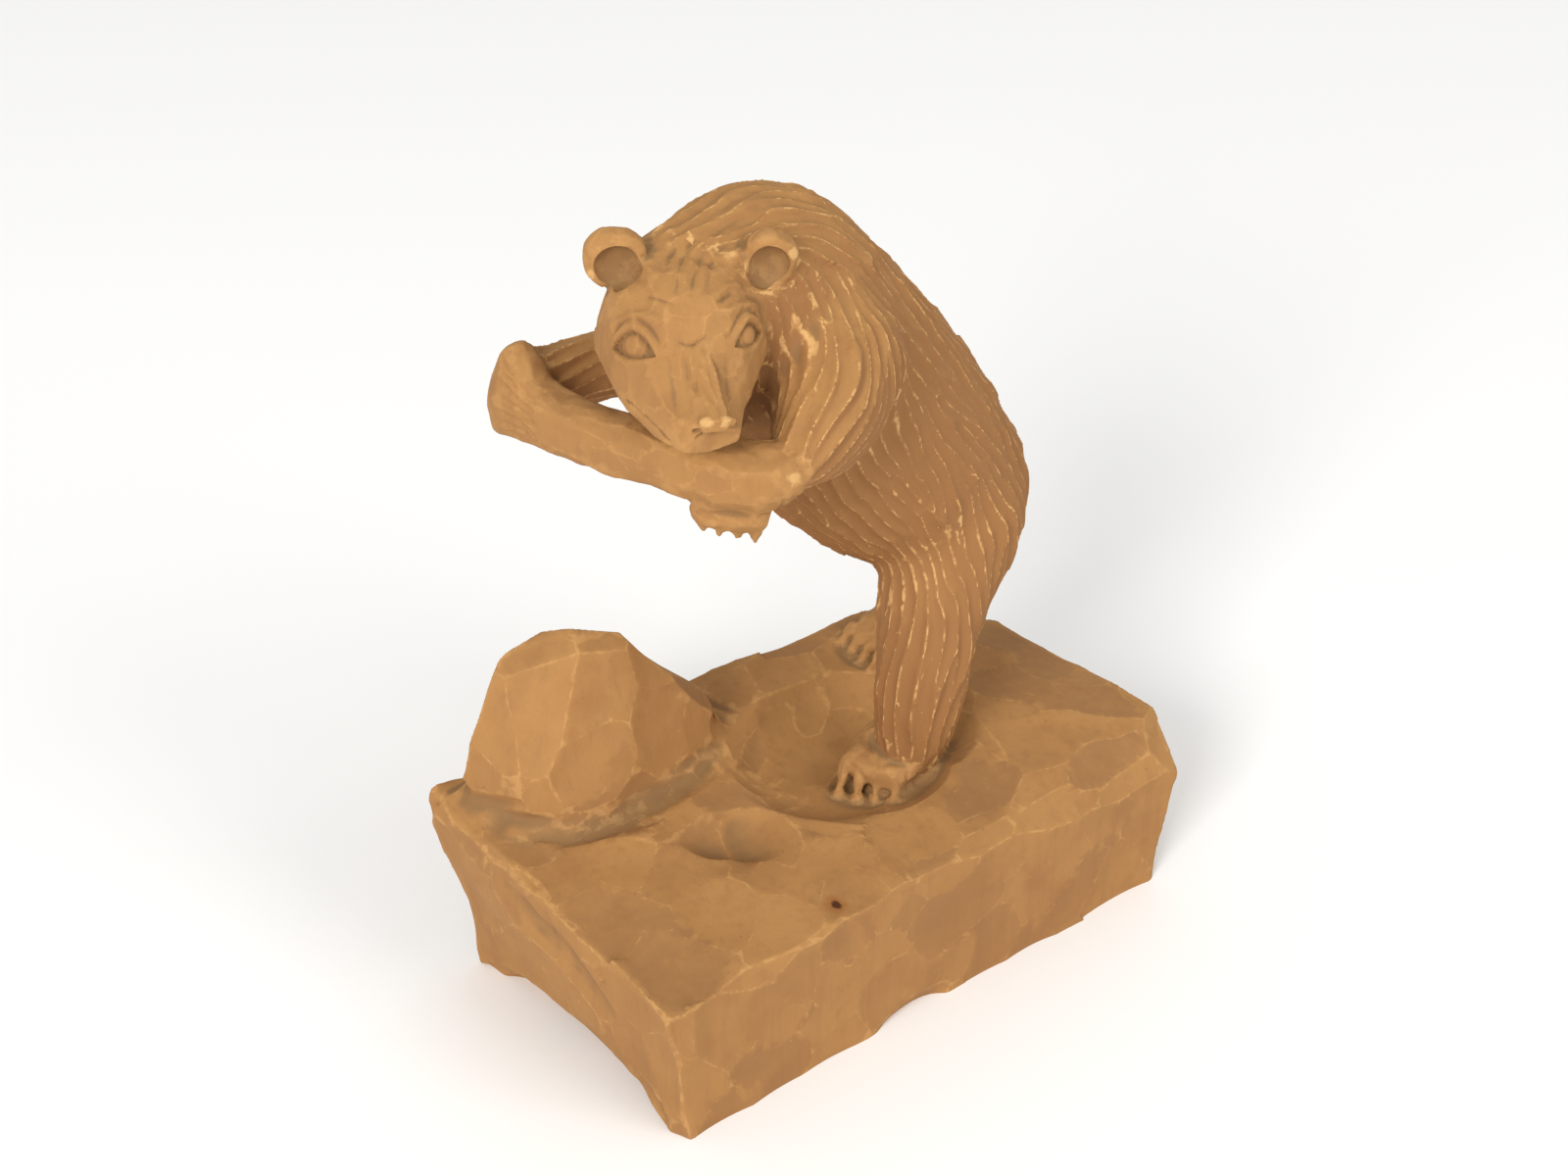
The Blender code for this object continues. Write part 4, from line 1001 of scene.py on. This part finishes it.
# patches where the wood took more or less of the stain, then the single facets
patches = paint.noise(16, detail=4)
color = paint.blend(patches.step(0.34, 0.66), STAIN_THIN, STAIN)
color = paint.blend(paint.noise(9, shift=(40, 0, 0), detail=5).step(0.45, 0.75) * 0.65, color, STAIN_WARM)
cut_share = on_stone * 0.35 + 0.2
color = paint.blend(facet.step(0.50, 0.95) * cut_share, color, STAIN_RED)
color = paint.blend(facet.step(0.45, 0.05) * cut_share, color, STAIN_THIN)

# the grain runs upright: fine pores and wide soft bands
pores = paint.noise(0.36, scale=(1, 1, 0.05), detail=4, rough=0.7)
bands = paint.noise(2.6, scale=(1, 1, 0.05), shift=(0, 30, 0), detail=3)
color = paint.blend(pores.step(0.50, 0.80) * 0.5, color, STAIN_WARM)
color = paint.blend(bands.step(0.50, 0.72) * 0.30, color, STAIN_RED)
color = paint.blend(bands.step(0.46, 0.30) * 0.22, color, STAIN_THIN)

# stain gathers in the cuts, where painted shade also darkens the hollows; the coat's upright sides get painted
# shade; bare wood shows on bumps and ridges
# painted shade: hollows and deep cuts darken towards the deep stain colour, partly stain gathered there and
# partly shade
color = paint.blend(depth.step(0.14, 0.90) * 0.65, color, DEEP_STAIN_AND_SHADE)
color = paint.blend(depth.step(-0.20, -0.80) * 0.35, color, STAIN_THIN)
# painted shade: sides that don't face up, the fur more than the rest, are darkened and reddened as if in shade
# lit by warm bounce light
facing = paint.node("ShaderNodeNewGeometry", {}, {})
upward = paint.node("ShaderNodeSeparateXYZ", {}, {"Vector": facing.outputs["Normal"]})
lying = Value(paint, upward.outputs["Z"]).step(0.15, 0.85)
color = paint.blend((on_fur * 0.65 + 0.3) * (1 - lying), color, PAINTED_SIDE_SHADE)
worn = paint.noise(3.2, shift=(0, 0, 70), detail=4, rough=0.65)
line = on_ridge.step(1.0, 0.30) * worn.step(0.38, 0.60) * (0.2 + 0.1 * on_stone + 0.5 * on_fur)
color = paint.blend(line, color, BARE_WOOD)

# a thin even film of dust and old wax lies over everything but the worn ridges
color = paint.blend(FILM * (1 - line), color, DUST)

# small knots, rubbed places, and flecks of dirt
for place, radius in KNOTS:
    spot = paint.away_from(*place) + (paint.noise(1.6, detail=2) - 0.5) * 1.6
    color = paint.blend(spot.step(radius * 2.2, radius * 0.9) * 0.5, color, STAIN_RED)
    color = paint.blend(spot.step(radius, radius * 0.45) * 0.9, color, KNOT)
for place, radius in RUBBED:
    spot = paint.away_from(*(1000 * (figure_point(*place) + shift)))
    spot = spot + (paint.noise(1.8, detail=3) - 0.5) * 3.0
    color = paint.blend(spot.step(radius, radius * 0.4) * 0.45, color, BARE_WOOD)
flecks = paint.noise(1.1, shift=(11, 5, 0), detail=2).step(0.73, 0.80)
color = paint.blend(flecks * 0.5, color, DEEP_STAIN_AND_SHADE)

grain = pores * 0.7 + paint.noise(0.5, detail=3) * 0.5
chatter = paint.noise(1.4, detail=2)
normal = paint.lumps(chatter, 0.00025, 0.25)
normal = paint.lumps(grain, 0.00012, 0.35, normal)
paint.feed(paint.surface.inputs["Base Color"], color)
paint.feed(paint.surface.inputs["Roughness"], 0.56 + FILM * 0.25 + (pores - 0.5) * 0.2)
paint.feed(paint.surface.inputs["Normal"], normal)
paint.surface.inputs["Specular IOR Level"].default_value = 0.10

data.materials.clear()
data.materials.append(paint.material)
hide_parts("carved_bear")
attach(carving, "root")


# The surroundings: a wide white table top under soft light from a window at the left, a second
# light from the room in front and pale walls all round
FLOOR_SIZE = 6.0

floor_data = bpy.data.meshes.new("table_top")
half = FLOOR_SIZE / 2
corners = [(-half, -half, 0), (half, -half, 0), (half, half, 0), (-half, half, 0)]
floor_data.from_pydata(corners, [], [(0, 1, 2, 3)])
table_top = bpy.data.objects.new("table_top", floor_data)
bpy.context.scene.collection.objects.link(table_top)
white = bpy.data.materials.new("white table top")
white.use_nodes = True
white.node_tree.nodes["Principled BSDF"].inputs["Base Color"].default_value = (0.90, 0.90, 0.89, 1)
white.node_tree.nodes["Principled BSDF"].inputs["Roughness"].default_value = 0.6
floor_data.materials.append(white)

room = bpy.data.worlds.new("pale room")
bpy.context.scene.world = room
room.use_nodes = True
room.node_tree.nodes["Background"].inputs["Color"].default_value = (1.0, 1.0, 1.0, 1)
room.node_tree.nodes["Background"].inputs["Strength"].default_value = 0.70
bpy.context.scene.view_settings.view_transform = "Standard"


def soft_light(name, place, size, power, color):
    """A square light that faces the bear."""
    light = bpy.data.lights.new(name, "AREA")
    light.size = size
    light.energy = power
    light.color = color
    lamp = bpy.data.objects.new(name, light)
    lamp.location = place
    lamp.rotation_euler = (Vector((0, 0, 0.08)) - Vector(place)).to_track_quat("-Z", "Y").to_euler()
    bpy.context.scene.collection.objects.link(lamp)


soft_light("window", (-2.2, -1.1, 1.4), 0.9, 58, (1.0, 0.99, 0.97))
soft_light("room_front", (0.9, -2.6, 1.8), 1.6, 36, (1.0, 0.98, 0.94))
